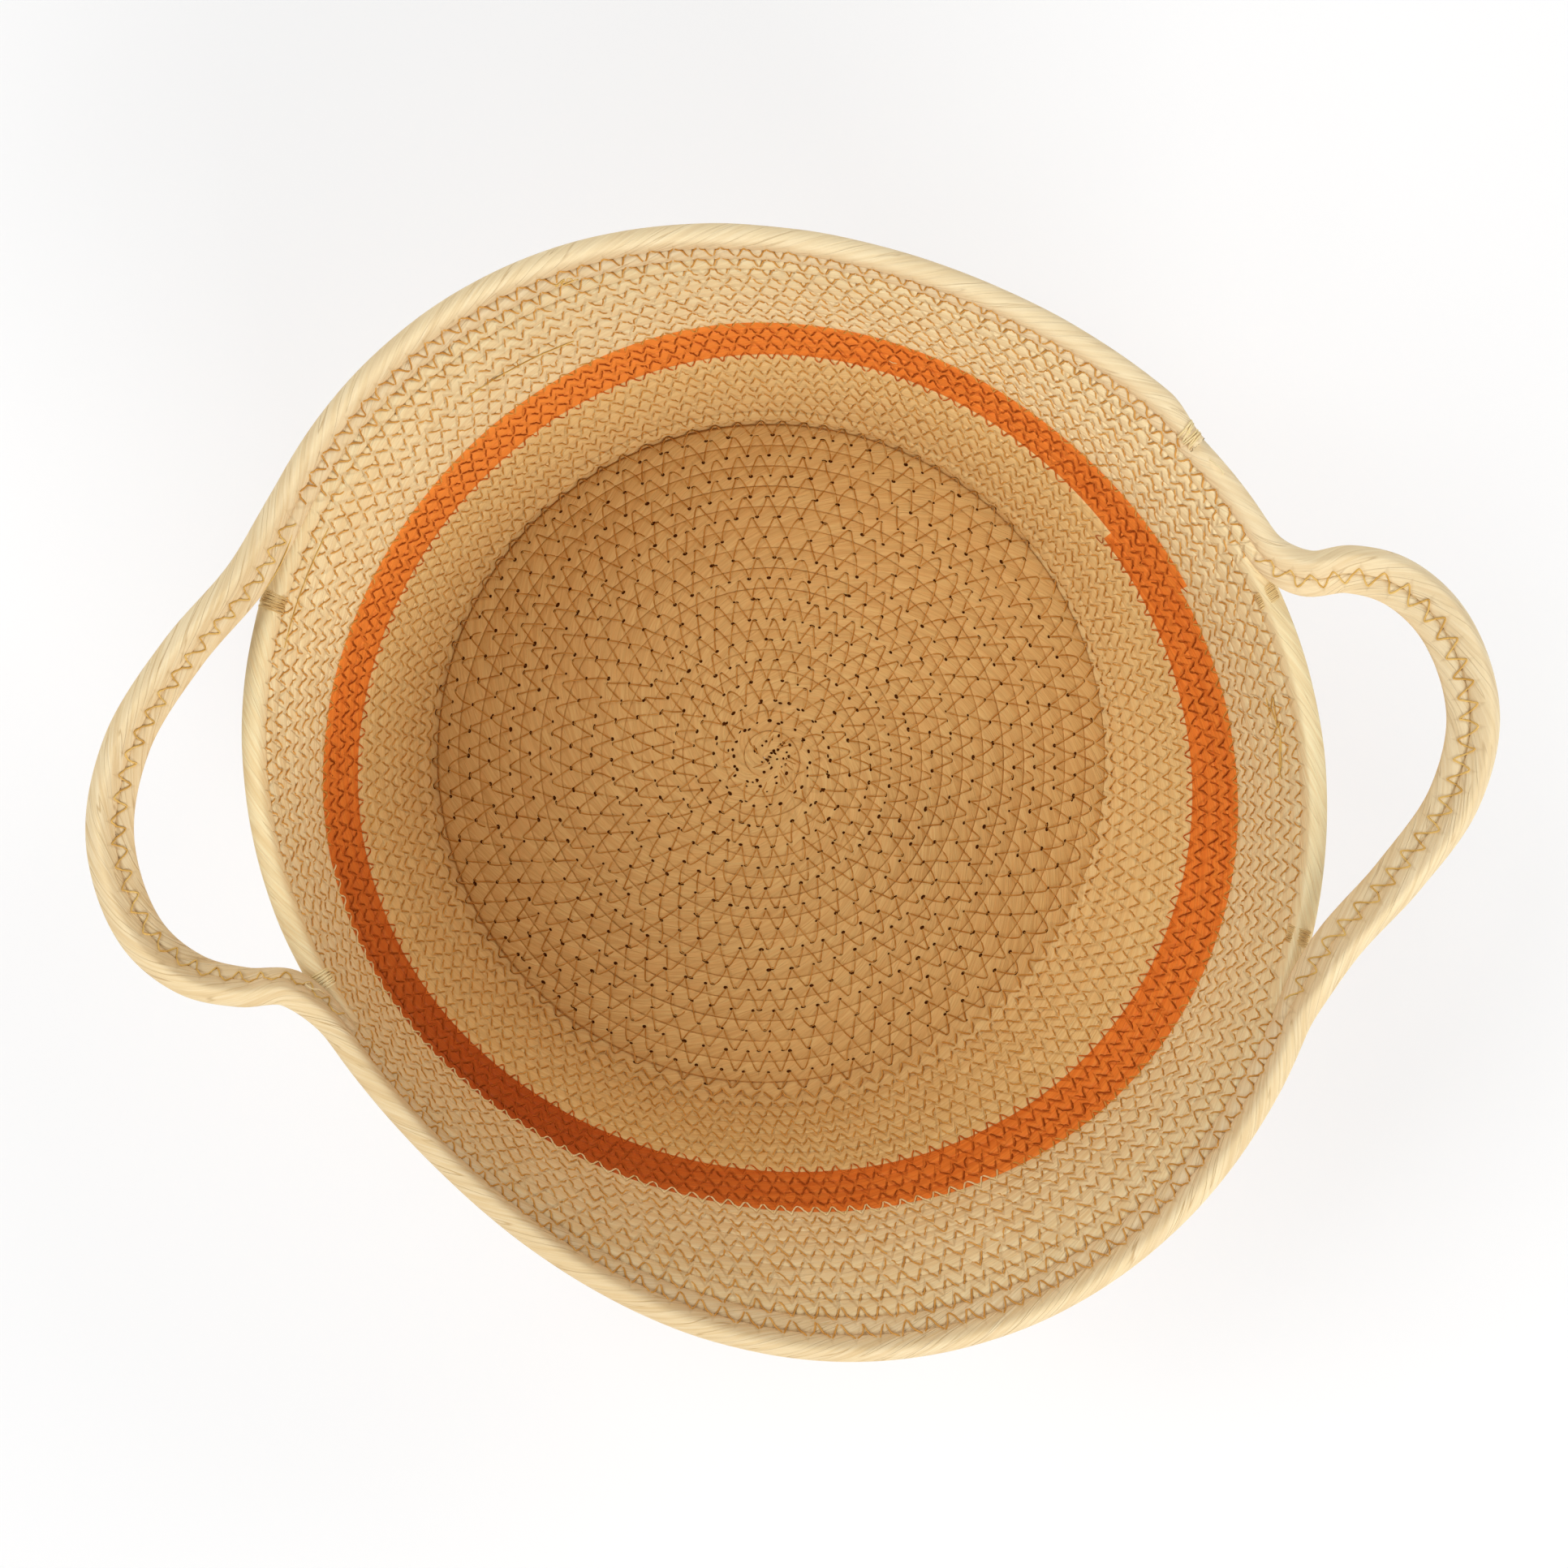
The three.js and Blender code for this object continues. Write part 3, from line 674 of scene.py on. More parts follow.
def paper_rope(name, tones, crease_shade, ridge, pinch_depth, gloss=0.15):
    """Twisted paper: dull, with fine fibres and folded strips that follow the rope's lay.

    It shows streaks of four tones, from pale to the darkest, and is drawn in at the stitches. Painted shade
    darkens it in the fold hollows, in thin creases between the strips, where the stitches draw it in and in
    spots around the basket, and painted light makes it paler in other spots.
    """
    material, tree = new_material(name)
    pale, middle, fold_shade_tone, shade_tone = map(linear, tones)
    across, face, along, twist, painted_shade_and_light = (
        add(tree, "ShaderNodeAttribute", output="Fac", attribute_name=key)
        for key in ("across", "face", "along", "twist", "painted_shade_and_light"))
    section = add(tree, "ShaderNodeCombineXYZ", (across, face))
    section = add(tree, VECTOR, (section,), operation="NORMALIZE")
    section = add(tree, VECTOR, {"Vector": section, "Scale": ROPE_DIAMETER / 2}, operation="SCALE")
    laid = add(tree, "ShaderNodeVectorRotate", {"Vector": section, "Angle": twist}, rotation_type="Z_AXIS")
    lengthways = add(tree, MATH, (along, 1 / FIBRE_STRETCH), operation="MULTIPLY")
    drawn = add(tree, "ShaderNodeCombineXYZ", {"Z": lengthways})
    fibre_at = add(tree, VECTOR, (laid, drawn), operation="ADD")
    patch = add(tree, MATH, (along, 1 / PATCH_LENGTH), operation="MULTIPLY")
    patch_at = add(tree, "ShaderNodeCombineXYZ", {"X": patch})
    fibre, folds, strips, patches = (
        add(tree, "ShaderNodeTexNoise", {
            "Vector": place, "Scale": scale, "Detail": detail, "Roughness": 0.62}, "Fac")
        for place, scale, detail in (
            (fibre_at, FIBRES_PER_MM, 4.0), (fibre_at, FOLDS_PER_MM, 2.0), (fibre_at, STRIPS_PER_MM, 1.0),
            (patch_at, 1.0, 3.0)))
    edge = add(tree, MATH, (strips, 0.5), operation="SUBTRACT")
    edge = add(tree, MATH, (edge,), operation="ABSOLUTE")
    on_edge = add(tree, RANGE, (edge, 0.0, 0.02, 1.0, 0.0), interpolation_type="SMOOTHSTEP")
    in_fold = add(tree, RANGE, (folds, 0.35, 0.6, 0.2, 1.0), interpolation_type="SMOOTHSTEP")
    creased = add(tree, MATH, (on_edge, in_fold), operation="MULTIPLY")
    pinch = stitch_pinch(tree, across)
    colour = middle
    # Tones mixed in turn: paler fibres, painted shade in the fold hollows, patches of tone, painted shade in
    # the creases, painted shade and painted light in spots around the basket, and painted shade where a
    # stitch presses in
    for value, low, high, most, tint, ease in (
            (fibre, 0.34, 0.68, 1.0, pale, "SMOOTHSTEP"),
            (folds, 0.56, 0.34, 0.4, fold_shade_tone, "SMOOTHSTEP"),
            (patches, 0.4, 0.75, 0.5, middle, "SMOOTHSTEP"),
            (creased, 0.0, 1.0, crease_shade, shade_tone, "LINEAR"),
            (painted_shade_and_light, 0.0, 1.0, 0.85, shade_tone, "LINEAR"),
            (painted_shade_and_light, 0.0, -1.0, 0.8, pale, "LINEAR"),
            (pinch, 0.0, 1.0, 0.2, shade_tone, "LINEAR")):
        share = add(tree, RANGE, (value, low, high, 0.0, most), interpolation_type=ease)
        colour = add(tree, MIX, {"Factor": share, "A": colour, "B": tint}, data_type="RGBA")
    height = 0.0
    for value, depth in ((fibre, 0.22), (folds, ridge), (creased, -0.12), (pinch, -pinch_depth)):
        height = add(tree, MATH, (value, depth, height), operation="MULTIPLY_ADD")
    bump = add(tree, "ShaderNodeBump", {"Strength": 0.8, "Distance": MM, "Height": height})
    rough = add(tree, RANGE, (fibre, 0.3, 0.7, 0.62, 0.46), interpolation_type="SMOOTHSTEP")
    return finish_material(material, {
        "Base Color": colour, "Roughness": rough, "Specular IOR Level": gloss, "Normal": bump})


def sewing_thread(name, light, dark):
    """Spun thread: dull, with a fine twist, and a little uneven in tone along its length."""
    material, tree = new_material(name)
    place = add(tree, "ShaderNodeTexCoord", output="Object")
    uneven, spun = (
        add(tree, "ShaderNodeTexNoise", {"Vector": place, "Scale": per_mm / MM, "Detail": detail}, "Fac")
        for per_mm, detail in ((THREAD_TONES_PER_MM, 3.0), (THREAD_TWISTS_PER_MM, 1.0)))
    share = add(tree, RANGE, (uneven, 0.35, 0.65, 0.0, 1.0), interpolation_type="SMOOTHSTEP")
    colour = add(tree, MIX, {"Factor": share, "A": linear(dark), "B": linear(light)}, data_type="RGBA")
    bump = add(tree, "ShaderNodeBump", {"Strength": 0.5, "Distance": 0.15 * MM, "Height": spun})
    return finish_material(material, {
        "Base Color": colour, "Roughness": 0.7, "Specular IOR Level": 0.1, "Normal": bump})


def hole_shade(name, light, dark):
    """Painted shade of a needle hole: the dark colour of its shaded inside, on a flat disc, with no shine."""
    material, tree = new_material(name)
    place = add(tree, "ShaderNodeTexCoord", output="Object")
    uneven = add(tree, "ShaderNodeTexNoise", {"Vector": place, "Scale": HOLE_TONES_PER_MM / MM}, "Fac")
    colour = add(tree, MIX, {"Factor": uneven, "A": linear(dark), "B": linear(light)}, data_type="RGBA")
    return finish_material(material, {"Base Color": colour, "Roughness": 0.95, "Specular IOR Level": 0.0})


# The rim's paper is the natural paper rope; the other natural papers are copies of it tuned by zone for the
# light inside the basket: the base's and the lower wall's darker and warmer, as painted shade, and the upper
# wall's paler, as painted light
RIM_PAPER = paper_rope(
    "natural_paper_rope", ("#F2DEB5", "#E9CF9F", "#D0AB72", "#B0874D"),
    crease_shade=0.6, ridge=0.5, pinch_depth=0.12, gloss=0.3)
WALL_PAPER_PAINTED_LIGHT = paper_rope(
    "natural_paper_rope_wall", ("#F7E7BA", "#F0D5A1", "#DAB67A", "#C2955A"),
    crease_shade=0.25, ridge=0.45, pinch_depth=0.42)
LOWER_PAPER_PAINTED_SHADE = paper_rope(
    "natural_paper_rope_lower_wall", ("#F4D89B", "#EAC483", "#D2A661", "#B4894B"),
    crease_shade=0.2, ridge=0.4, pinch_depth=0.38)
BASE_PAPER_PAINTED_SHADE = paper_rope(
    "natural_paper_rope_base", ("#ECCA87", "#E4B673", "#C99A5A", "#B08043"),
    crease_shade=0.15, ridge=0.28, pinch_depth=0.2)
ORANGE_PAPER = paper_rope(
    "orange_paper_rope", ("#F9963F", "#F08131", "#CB5C16", "#A23E0E"),
    crease_shade=0.3, ridge=0.4, pinch_depth=0.42)
TAN_THREAD = sewing_thread("tan_sewing_thread", "#DEA858", "#C88E40")
# A darker copy of the tan thread, as painted shade on the base
BASE_THREAD_PAINTED_SHADE = sewing_thread("tan_sewing_thread_base", "#D8A258", "#C0843A")
RUST_THREAD = sewing_thread("rust_sewing_thread", "#BA5E20", "#9A4812")
ORANGE_THREAD = sewing_thread("orange_sewing_thread", "#DA7A2E", "#BE5C1A")
PALE_THREAD = sewing_thread("pale_sewing_thread", "#F4E2B2", "#E6CC90")
GOLD_THREAD = sewing_thread("gold_sewing_thread", "#E8C272", "#D0A252")
TACK_THREAD = sewing_thread("tack_thread", "#E6CA92", "#CCA76A")
PALE_FIBRE = sewing_thread("pale_paper_fibre", "#F2E4C0", "#E2CC98")
DARK_FIBRE = sewing_thread("dark_paper_fibre", "#8C7650", "#5A482C")
# Needle holes: dark discs as painted shade of the holes' insides
HOLE_PAINTED_SHADE = hole_shade("needle_hole", "#5A2E0C", "#341604")

# Rope

ROPE, THREAD, HOLES = rope_tree(), thread_tree(), hole_tree()


def painted_shade_and_light_around(spots):
    """Painted shade and light around the basket, from spots at an angle: above 0 darker, below 0 paler."""
    azimuth = np.degrees(np.arctan2(POINTS[:, 1], POINTS[:, 0]))
    return sum(strength * np.exp(-(((azimuth - at + 180) % 360 - 180) / width) ** 2)
               for at, width, strength in spots)


ON_STRIPE = (TURNS > STRIPE_START) & (TURNS < STRIPE_END)
# Painted shade and light on the walls: the stripe's own spots on the stripe and the paper's elsewhere, none
# on the base
PAINTED_SHADE_AND_LIGHT_AROUND = np.where(ON_STRIPE, painted_shade_and_light_around(STRIPE_PAINTED_SHADE_AND_LIGHT), painted_shade_and_light_around(PAPER_PAINTED_SHADE_AND_LIGHT)) * (TURNS > BASE_TURNS)
ROPE_FACTS = {
    "rowward": ROWWARD, "inward": INWARD, "half_width": HALF_W * MM, "half_thickness": HALF_T * MM,
    "squareness": SQUARE, "raised": START_LIFT * MM * (1 - smoothstep(TURNS, *START_LIFT_TURNS)),
    "along": TRAVELLED, "twist": TWIST, "lean": LEAN, "painted_shade_and_light": PAINTED_SHADE_AND_LIGHT_AROUND,
    "seam_next": PHASE, "sewn_next": sewn_to_next(TURNS).astype(float),
    "seam_last": at_turn(PHASE, TURNS - 1),
    "sewn_last": sewn_to_next(TURNS - 1) * (1 - in_handle(TURNS) * (TURNS < WALL_END + 1)),
}


def settle(obj, handle=None, nodes=()):
    """Puts a finished piece on the basket's body, or for a handle's piece bakes its place into its mesh, and
    hides the given parts.
    """
    if handle:
        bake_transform(obj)
    else:
        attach(obj, "basket")
    if nodes:
        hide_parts(*nodes)
    return obj


COIL_PAPERS = {
    "base_coil": BASE_PAPER_PAINTED_SHADE, "lower_wall_coil": LOWER_PAPER_PAINTED_SHADE, "stripe_coil": ORANGE_PAPER,
    "upper_wall_coil": WALL_PAPER_PAINTED_LIGHT,
}
for node_name, (first, last) in SPANS.items():
    facts = {key: values[first:last] for key, values in ROPE_FACTS.items()}
    rope = line_object(node_name.replace("_coil", "_rope") + "_laid", POINTS[first:last], attributes=facts)
    paper = COIL_PAPERS.get(node_name, RIM_PAPER)
    grow(rope, ROPE, sides=ROPE_SIDES, foot_height=FOOT_HEIGHT * MM, material=paper)
    side = next((s for s in HANDLES if node_name.startswith(f"{s}_handle")), None)
    settle(rope, side, [node_name])


# Sewing

def surface_height(rows, turn):
    """Height of the rope's face above its middle, a share of a row away from it."""
    across = np.clip(np.abs(rows) * PITCH / at_turn(HALF_W, turn), 0, 1)
    square = at_turn(SQUARE, turn)
    return at_turn(HALF_T, turn) * (1 - across ** square) ** (1 / square)


def zigzag(start, end, face, showing, bows, dips, sink, bar):
    """Strokes of thread on one face between two turns of the lower row, and the needle holes at their ends.

    The strokes turn in a bow, as wide as is given for the lower and the upper row, and dip into the paper
    there, so that about the given share of each stroke shows. With a bar, a stroke reaches the upper row that
    much sooner and runs along it to its end.
    """
    low, high = np.interp([start, end], TURNS, PHASE)
    counts = np.arange(math.ceil(low), math.floor(high))
    if not len(counts):
        return None
    steps = np.linspace(0, 1, STROKE_POINTS)
    lean = np.interp(counts, PHASE, LEAN)
    begin = np.concatenate([counts, counts + lean])[:, None]
    length = np.concatenate([lean, 1 - lean])[:, None]
    rising = np.repeat([True, False], len(counts))[:, None]
    strokes = len(begin)
    loose = 1 - showing
    ends = loose * RNG.uniform(0.0, 1.1, (strokes, 2))
    bow = RNG.normal(0, STROKE_BOW[0] + STROKE_BOW[1] * loose, (strokes, 1)) * np.sin(math.pi * steps)
    slip = RNG.normal(0, STROKE_SLIP[0] + STROKE_SLIP[1] * loose, (strokes, 1))
    phase = begin + length * steps + bow
    rows = np.minimum(np.where(rising, steps, 1 - steps) * (1 + bar), 1)
    rows = rows + slip * (1 - 2 * np.abs(rows - 0.5))
    rows = rows + bows[0] * np.exp(-rows / TURNING_SHARE) - bows[1] * np.exp((rows - 1) / TURNING_SHARE)
    turn = np.interp(phase, PHASE, TURNS)
    low_point, high_point = at_turn(POINTS, turn), at_turn(POINTS, turn + 1)
    share = rows[..., None]
    facing = unit(at_turn(INWARD, turn) * (1 - share) + at_turn(INWARD, turn + 1) * share) * face
    on_low, on_high = surface_height(rows, turn), surface_height(1 - rows, turn + 1)
    bridge = BRIDGE_HEIGHT * (at_turn(HALF_T, turn) + at_turn(HALF_T, turn + 1)) / 2
    height = np.maximum(np.where(rows < 0.5, on_low, on_high), bridge)
    middle = low_point + (high_point - low_point) * share
    sunk = 0
    for way, dip, hidden in ((steps, np.where(rising, *dips), ends[:, :1]),
                             (1 - steps, np.where(rising, *dips[::-1]), ends[:, 1:])):
        dipped = 1 - smoothstep(way, hidden - DIP_EASE[0], hidden + DIP_EASE[1])
        sunk = np.maximum(sunk, dip * dipped)
    points = middle + facing * (height + THREAD_RADIUS - sink - DIP_DEPTH * sunk)[..., None]
    points[..., 2] = np.maximum(points[..., 2], THREAD_RADIUS + THREAD_CLEAR_OF_FLOOR)
    holes = {"points": (middle + facing * (height + HOLE_LIFT)[..., None])[:, 0], "facing": facing[:, 0],
             "along": at_turn(ALONG, turn[:, 0]), "size": np.where(rising, LOWER_HOLE, UPPER_HOLE)}
    return points, holes


def sewing(name, spans, face, material, handle=None, showing=0.7, bows=(0.05, 0.07), dips=(1, 1),
           sink=THREAD_SINK, bar=0):
    """One piece of zigzag seam on one face; returns the needle holes that go with it."""
    found = [zigzag(start, end, face, showing, bows, dips, sink, bar) for start, end in spans]
    found = [made for made in found if made]
    points = np.concatenate([points for points, _ in found])
    obj = line_object(name, points.reshape(-1, 3), np.arange(len(points)) * STROKE_POINTS)
    grow(obj, THREAD, sides=THREAD_SIDES, radius=THREAD_RADIUS * MM, material=material)
    settle(obj, handle)
    return [holes for _, holes in found]


def needle_holes(name, found):
    points, facing, along, size = (
        np.concatenate([holes[key] for holes in found]) for key in ("points", "facing", "along", "size"))
    one_each = (len(points), 1)
    points = points + along * RNG.uniform(-0.3, 0.5, one_each)
    points[:, 2] = np.maximum(points[:, 2], HOLE_LOWEST)
    size = size * RNG.uniform(0.6, 1.1, one_each) * RNG.uniform(1.0, 1.6, one_each) ** [1, 0]
    stretch = np.column_stack([size, np.ones(len(points))])
    obj = line_object(name, points, joined=False,
                      attributes={"facing": facing, "along": along, "stretch": stretch})
    grow(obj, HOLES, corners=HOLE_CORNERS, radius=HOLE_RADIUS * MM, material=HOLE_PAINTED_SHADE)
    settle(obj)


def scattered_holes(face, count=40):
    """Needle holes where the first tight turns are sewn over and over."""
    turn = RNG.uniform(-0.1, 1.8, count)
    points = (at_turn(POINTS, turn) + at_turn(ROWWARD, turn) * RNG.uniform(-2.6, 2.6, (count, 1))
              + UP * (face * (at_turn(HALF_T, turn) + HOLE_LIFT))[:, None])
    return {"points": points, "facing": np.tile(UP * face, (count, 1)), "along": at_turn(ALONG, turn),
            "size": RNG.uniform(0.5, 1.3, (count, 2))}


FACES = {"inside": 1, "outside": -1}
LAYOUTS = {"right": RIGHT, "left": LEFT}
FIRST_SEAM = START_TURN + 0.05
CENTRE_END = 2.3
BASE_SEAM_END = 16.0
WHISKERS = (28.27, 28.57)
SEWN_LOOKS = {
    "base": {"showing": 0.97, "bows": (0.0, 0.05), "dips": (0.8, 0.3), "sink": 0.3, "bar": 0.13},
    "centre": {"showing": 0.65, "bows": (0.0, 0.1), "dips": (1, 0.6), "sink": 0.26},
    "rim": {"showing": 0.85},
    "stripe_foot": {"showing": 0.85},
    "stripe_whisker": {"showing": 0.95},
    "handle": {"showing": 0.97, "bows": (0.1, 0.12), "dips": (0.2, 0.2)},
}
WALL_SPANS = {
    "centre": ([(FIRST_SEAM, CENTRE_END)], BASE_THREAD_PAINTED_SHADE),
    "base": ([(CENTRE_END, BASE_SEAM_END)], BASE_THREAD_PAINTED_SHADE),
    "lower_wall": ([(BASE_SEAM_END, STRIPE_START - 1)], TAN_THREAD),
    "stripe_foot": ([(STRIPE_START - 1, STRIPE_START - 0.02)], ORANGE_THREAD),
    "stripe": ([(STRIPE_START, STRIPE_END - 1)], RUST_THREAD),
    "stripe_edge": ([(STRIPE_END - 1, WHISKERS[0]), (WHISKERS[1], STRIPE_END)], TAN_THREAD),
    "stripe_whisker": ([WHISKERS], PALE_THREAD),
    "upper_wall": ([(STRIPE_END, RIGHT["leave"] - 1)], TAN_THREAD),
    "rim": ([(RIGHT["back"] - 1, LEFT["leave"] - 1), (LEFT["back"] - 1, RIGHT["leave"]),
             (RIGHT["back"], LEFT["leave"]), (LEFT["back"], LAST_TURN - 1)], TAN_THREAD),
}
for part, (spans, thread) in WALL_SPANS.items():
    for face_name, face in FACES.items():
        made = sewing(f"{part}_stitches_{face_name}", spans, face, thread, **SEWN_LOOKS.get(part, {}))
        if part in ("centre", "base"):
            # Drawn for both parts, so that the random draws after it keep their order
            scattered = [scattered_holes(face)]
            needle_holes(f"{part}_needle_holes_{face_name}", made + scattered * (part == "centre"))
for side, layout in LAYOUTS.items():
    for face_name, face in FACES.items():
        sewing(f"{side}_handle_stitches_{face_name}", [(layout["leave"], layout["back"])], face, GOLD_THREAD,
               side, **SEWN_LOOKS["handle"])


# Tacks: the arc that the thread takes round the rope's section, and the thread itself

TACK_ARC = (-62, 128)
TACK_POINTS = 17
TACK_RADIUS = 0.26
TACK_SIDES = 6
HANDLE_TACK_STRANDS = 10
LAST_TACK_STRANDS = 8


def tack(node_name, turn, strands, material, slant, loose):
    """Strands of thread wrapped side by side over the top and the inner face of one row."""
    half = turns_along(turn, TACK_WIDTH / 2)
    around = np.radians(np.linspace(*TACK_ARC, TACK_POINTS))
    arch = np.sin(np.linspace(0, math.pi, TACK_POINTS))
    lines = []
    for place in np.linspace(-1, 1, strands) + RNG.normal(0, loose / strands, strands):
        lean = slant + RNG.normal(0, 0.5 * loose)
        at = turn + half * (place + lean * np.linspace(-0.5, 0.5, TACK_POINTS))
        clear = RNG.uniform(0.1, 0.3) + loose * RNG.uniform(0, 0.5) * arch
        wide, thick = at_turn(HALF_W, at) + clear, at_turn(HALF_T, at) + clear
        lines.append(at_turn(POINTS, at) + at_turn(ROWWARD, at) * (wide * np.cos(around))[:, None]
                     + at_turn(INWARD, at) * (thick * np.sin(around))[:, None])
    obj = line_object(node_name + "_strands", np.concatenate(lines), np.arange(1, strands) * TACK_POINTS)
    grow(obj, THREAD, sides=TACK_SIDES, radius=TACK_RADIUS * MM, material=material)
    settle(obj, nodes=[node_name])


TACK_LOOKS = {
    "right": ((TACK_THREAD, 0.9, 0.3), (TACK_THREAD, -0.5, 0.4)),
    "left": ((PALE_THREAD, 0.6, 1.0), (TACK_THREAD, -0.3, 0.5)),
}
for side, layout in LAYOUTS.items():
    from_start, from_end = HANDLES[side]["tacks"]
    begin, finish = layout["leave"] - 1, layout["back"] - 1
    start_turn, end_turn = begin + turns_along(begin, from_start), finish - turns_along(finish, from_end)
    start_look, end_look = TACK_LOOKS[side]
    tack(f"{side}_handle_start_tack", start_turn, HANDLE_TACK_STRANDS, *start_look)
    tack(f"{side}_handle_end_tack", end_turn, HANDLE_TACK_STRANDS, *end_look)
tack("rope_end_tack", LAST_TURN - turns_along(LAST_TURN, LAST_TACK_FROM_END), LAST_TACK_STRANDS,
     PALE_THREAD, 0.5, 0.6)


# Loose ends: each line starts at a turn of the rope and goes through points, in millimetres along the rope,
# across to the next row, and off the rope's middle towards the inside

LOOSE_SIDES = 5
LOOSE_STEPS = 5


def loose_lines(name, radius, material, lines, handle=None):
    drawn = []
    for turn, knots in lines:
        knots = np.array(knots, float)
        at = turn + turns_along(turn, 1.0) * knots[:, 0]
        places = at_turn(POINTS, at) + at_turn(ROWWARD, at) * knots[:, 1:2]
        places = places + at_turn(INWARD, at) * knots[:, 2:]
        shares = np.linspace(0, len(places) - 1, LOOSE_STEPS * len(places))
        drawn.append(np.array([centripetal(places, share) for share in shares]))
    breaks = np.cumsum([len(line) for line in drawn])[:-1]
    obj = line_object(name, np.concatenate(drawn), breaks)
    grow(obj, THREAD, sides=LOOSE_SIDES, radius=radius * MM, material=material)
    settle(obj, handle)


def tangle(turn, length, reach, seed, count=9):
    """A thread that wanders over the inside of a row."""
    wander = np.random.default_rng(seed)
    along = np.linspace(0, length, count) + wander.normal(0, length / count, count)
    return turn, np.column_stack([along, wander.normal(0, reach, count), wander.uniform(3.0, 3.5, count)])


def fray(turn, seed, count, length):
    """Split paper at a rope's cut end: short fibres that spread from its section."""
    spread = np.random.default_rng(seed)
    lines = []
    for _ in range(count):
        across, off = spread.uniform(-1.8, 2.4), spread.uniform(-1.2, 1.8)
        reach = length * spread.uniform(0.4, 1.0)
        swing_across, swing_off = spread.normal(0, 0.5, 2)
        lines.append((turn, [
            (-2.0, across * 0.8, off * 0.8),
            (0.4 * reach, across + 0.5 * swing_across, off + 0.5 * swing_off),
            (reach, across * 1.3 + swing_across, off * 1.3 + swing_off)]))
    return lines


loose_lines("loose_brown_threads", 0.2, GOLD_THREAD, [
    (33.744, [(0, -2.4, 3.05), (12, -4.4, 3.1), (25, -6.6, 3.1), (37, -8.8, 3.05)]),
    (35.640, [(-1, -0.5, 3.0), (12, -0.7, 3.2), (24, -1.1, 3.2), (37, -1.3, 3.0)]),
    tangle(34.085, 24, 1.5, 21, 12),
    tangle(34.092, 16, 1.0, 22),
    tangle(37.787, 7, 1.1, 23),
    tangle(37.789, 5, 0.8, 24),
])
loose_lines("loose_pale_threads", 0.16, PALE_THREAD, [
    (16.60, [(-3, -3.5, 2.9), (0, -2.2, 3.6), (3, -2.6, 3.9), (4, -4.5, 3.7), (2, -6, 3.3), (-1, -5, 3.0)]),
    (38.012, [(-1, 3.0, 0.6), (1.5, 4.8, 1.0), (3.6, 5.6, 1.1), (4.8, 4.4, 0.8), (5.0, 3.0, 0.3)]),
    (26.904, [(-1.4, 0.2, 2.9), (0, 0.5, 3.3), (1.4, 0.2, 2.9)]),
])
loose_lines("left_handle_loose_thread", 0.2, GOLD_THREAD, [
    (37.667, [(-8, -2.2, 3.0), (0, -2.1, 3.3), (6, -0.8, 3.2), (9, 0.2, 2.9)]),
], "left")
loose_lines("left_handle_pale_thread", 0.16, PALE_THREAD, [
    (37.530, [(-5, 1.0, 3.3), (-3, 3.0, 4.2), (-1, 5.0, 4.0), (1, 3.8, 3.6), (0, 1.4, 3.4)]),
], "left")
loose_lines("loose_orange_fibre", 0.16, RUST_THREAD, [
    (25.014, [(-2.5, -3.2, 3.0), (-3.6, -5.6, 3.4), (-0.4, -4.8, 3.5), (-1.6, -2.8, 3.0)]),
    (29.041, [(-1, -0.6, 3.0), (1.6, 0.4, 3.3), (3.4, 2.2, 3.2)]),
])
loose_lines("rope_end_fibres", 0.13, PALE_FIBRE, fray(LAST_TURN, 31, 16, 5.0))
loose_lines("rope_end_dark_fibres", 0.12, DARK_FIBRE, fray(LAST_TURN, 32, 12, 6.0))
CENTRE = np.random.default_rng(41)
loose_lines("centre_threads", 0.18, BASE_THREAD_PAINTED_SHADE, [
    (turn, [(0, -side, 2.5), (0.6, -0.3 * side, 3.05), (1.2, 0.4 * side, 3.05), (1.5, side, 2.5)])
    for turn, side in zip(CENTRE.uniform(0.3, 1.4, 12), CENTRE.uniform(1.6, 3.4, 12))])


# Camera, floor and light

camera = bpy.data.objects.new("camera", bpy.data.cameras.new("camera"))
camera.location = [place * MM for place in CAMERA_PLACE]
camera.data.sensor_width = SENSOR_WIDTH
camera.data.lens = FOCAL_PIXELS / PICTURE_PIXELS * SENSOR_WIDTH
camera.data.clip_start = 0.01
bpy.context.scene.collection.objects.link(camera)
bpy.context.scene.camera = camera

WHITE = (1, 1, 1, 1)


def seen_plainly(tree):
    """1 for rays that show the background itself: from the camera, off a gloss or through a clear body."""
    path = add(tree, "ShaderNodeLightPath").node.outputs
    rays = path["Is Camera Ray"]
    for kind in ("Is Glossy Ray", "Is Transmission Ray"):
        rays = add(tree, MATH, (rays, path[kind]), operation="ADD")
    return add(tree, MATH, (rays, 1.0), operation="MINIMUM")


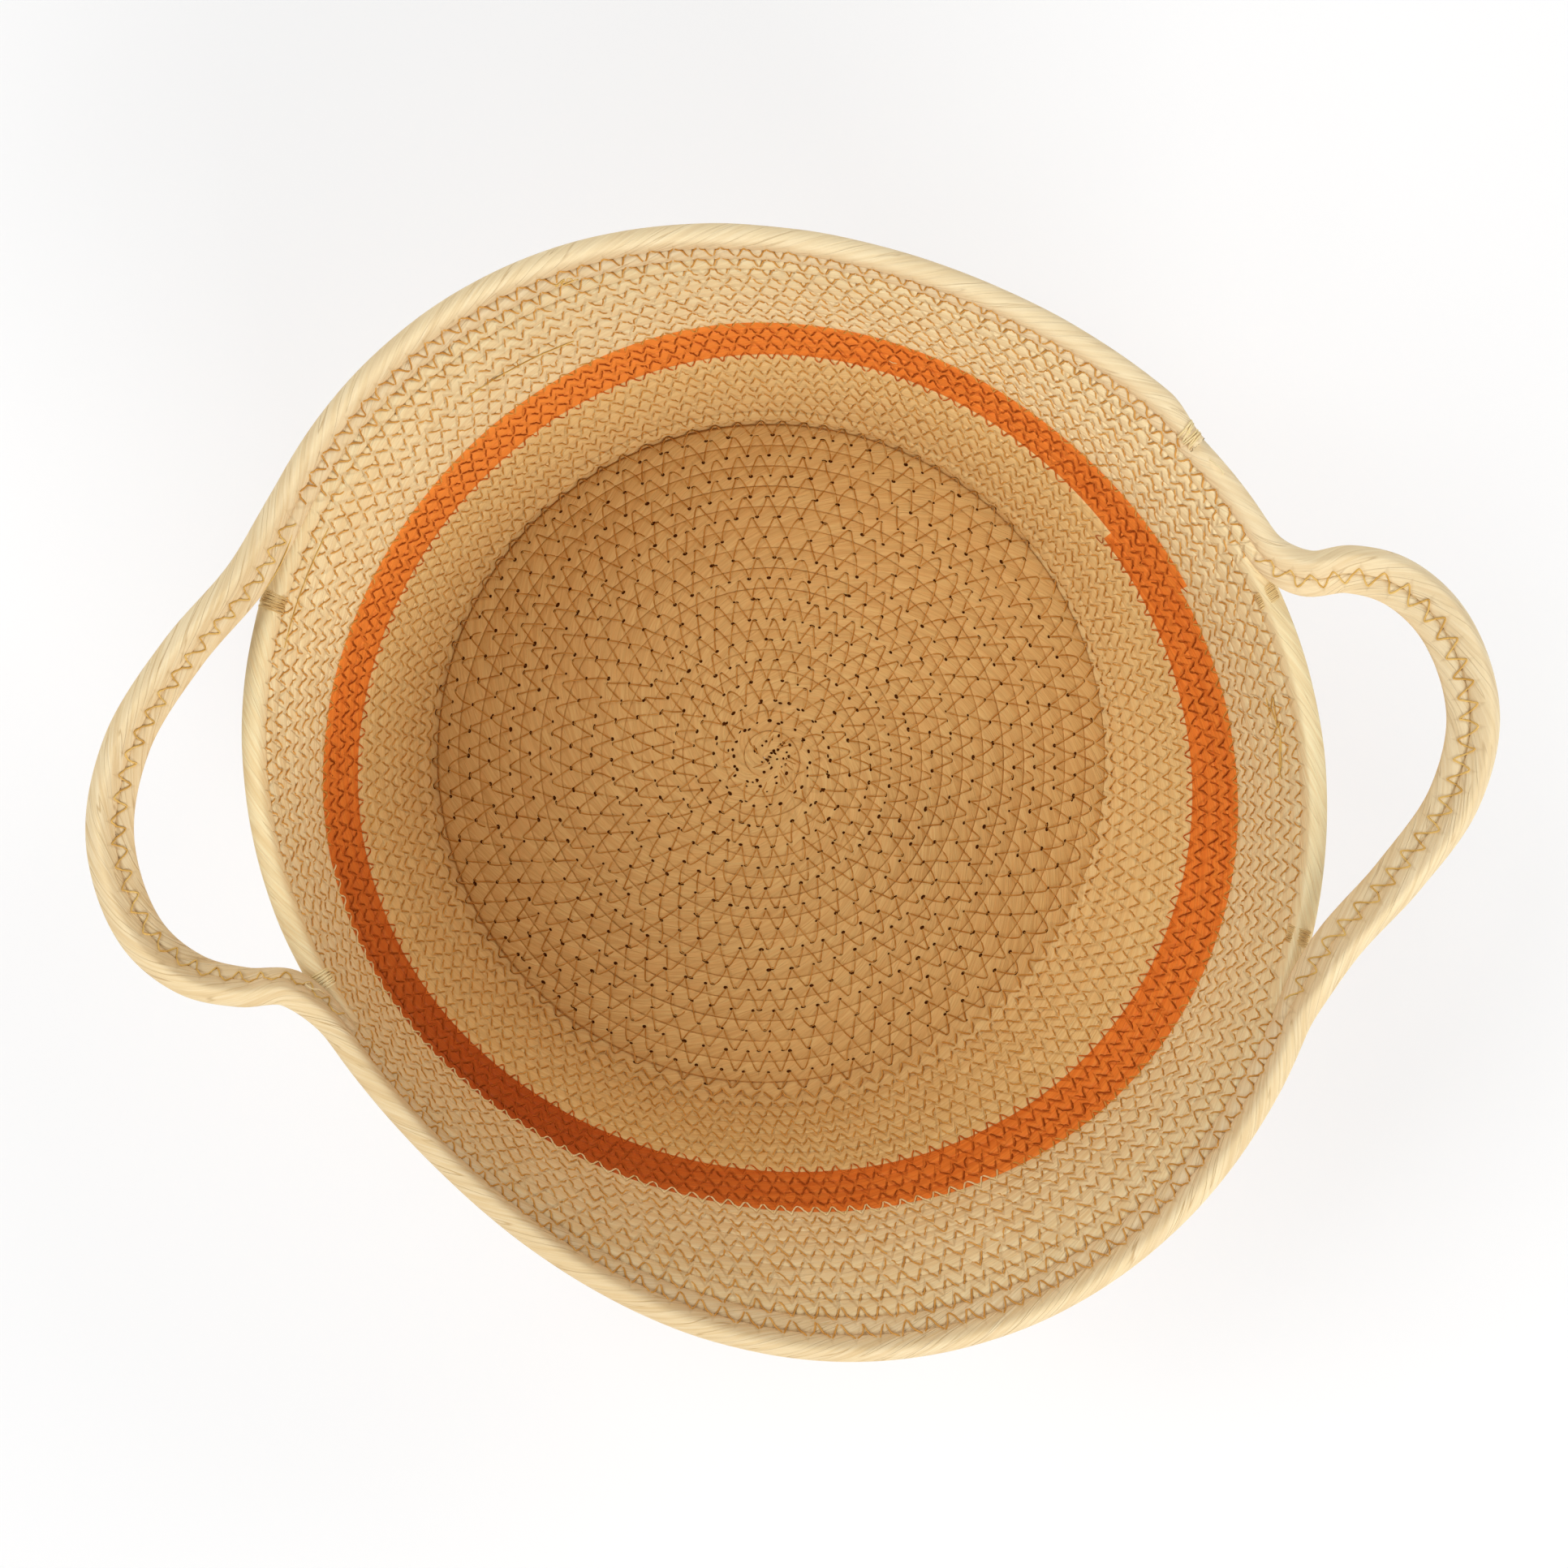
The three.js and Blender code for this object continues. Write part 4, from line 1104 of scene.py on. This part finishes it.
def white_backdrop():
    """Matte white paper, which keeps the basket's shadow and is otherwise seen as nearly plain white."""
    material, tree = new_material("white_backdrop")
    paint = add(tree, "ShaderNodeBsdfPrincipled", {
        "Base Color": (FLOOR_WHITE, FLOOR_WHITE, FLOOR_WHITE, 1), "Roughness": 0.9,
        "Specular IOR Level": 0.1})
    glow = add(tree, "ShaderNodeEmission", {"Color": WHITE, "Strength": 1.0})
    share = add(tree, MATH, (seen_plainly(tree), FLOOR_GLOW), operation="MULTIPLY")
    both = add(tree, "ShaderNodeMixShader", (share, paint, glow))
    add(tree, "ShaderNodeOutputMaterial", {"Surface": both})
    return material


floor_mesh = bpy.data.meshes.new("floor")
corners = [(x * FLOOR_REACH, y * FLOOR_REACH, 0) for x, y in ((-1, -1), (1, -1), (1, 1), (-1, 1))]
floor_mesh.from_pydata(corners, [], [(0, 1, 2, 3)])
floor_mesh.materials.append(white_backdrop())
floor = bpy.data.objects.new("floor", floor_mesh)
bpy.context.scene.collection.objects.link(floor)

world = bpy.data.worlds.new("studio")
world.use_nodes = True
sky_tree = world.node_tree
sky_tree.nodes.clear()
strength = add(sky_tree, RANGE, (seen_plainly(sky_tree), 0.0, 1.0, SKY_LIGHT, 1.0),
               interpolation_type="LINEAR")
sky = add(sky_tree, "ShaderNodeBackground", {"Color": WHITE, "Strength": strength})
add(sky_tree, "ShaderNodeOutputWorld", {"Surface": sky})
bpy.context.scene.world = world


def softbox(name, azimuth, elevation, power):
    """A square soft light that faces the basket from an angle around it and an angle above the floor."""
    lamp = bpy.data.lights.new(name, "AREA")
    lamp.size = LAMP_SIZE
    lamp.energy = power
    obj = bpy.data.objects.new(name, lamp)
    turned, raised = math.radians(azimuth), math.radians(elevation)
    level = LAMP_DISTANCE * math.cos(raised)
    obj.location = (level * math.cos(turned), level * math.sin(turned),
                    LAMP_DISTANCE * math.sin(raised) + LAMP_AIM)
    obj.rotation_euler = (math.pi / 2 - raised, 0, turned + math.pi / 2)
    bpy.context.scene.collection.objects.link(obj)


for lamp_name, lamp_look in LAMPS.items():
    softbox(lamp_name, *lamp_look)

view = bpy.context.scene.view_settings
view.view_transform = "Standard"
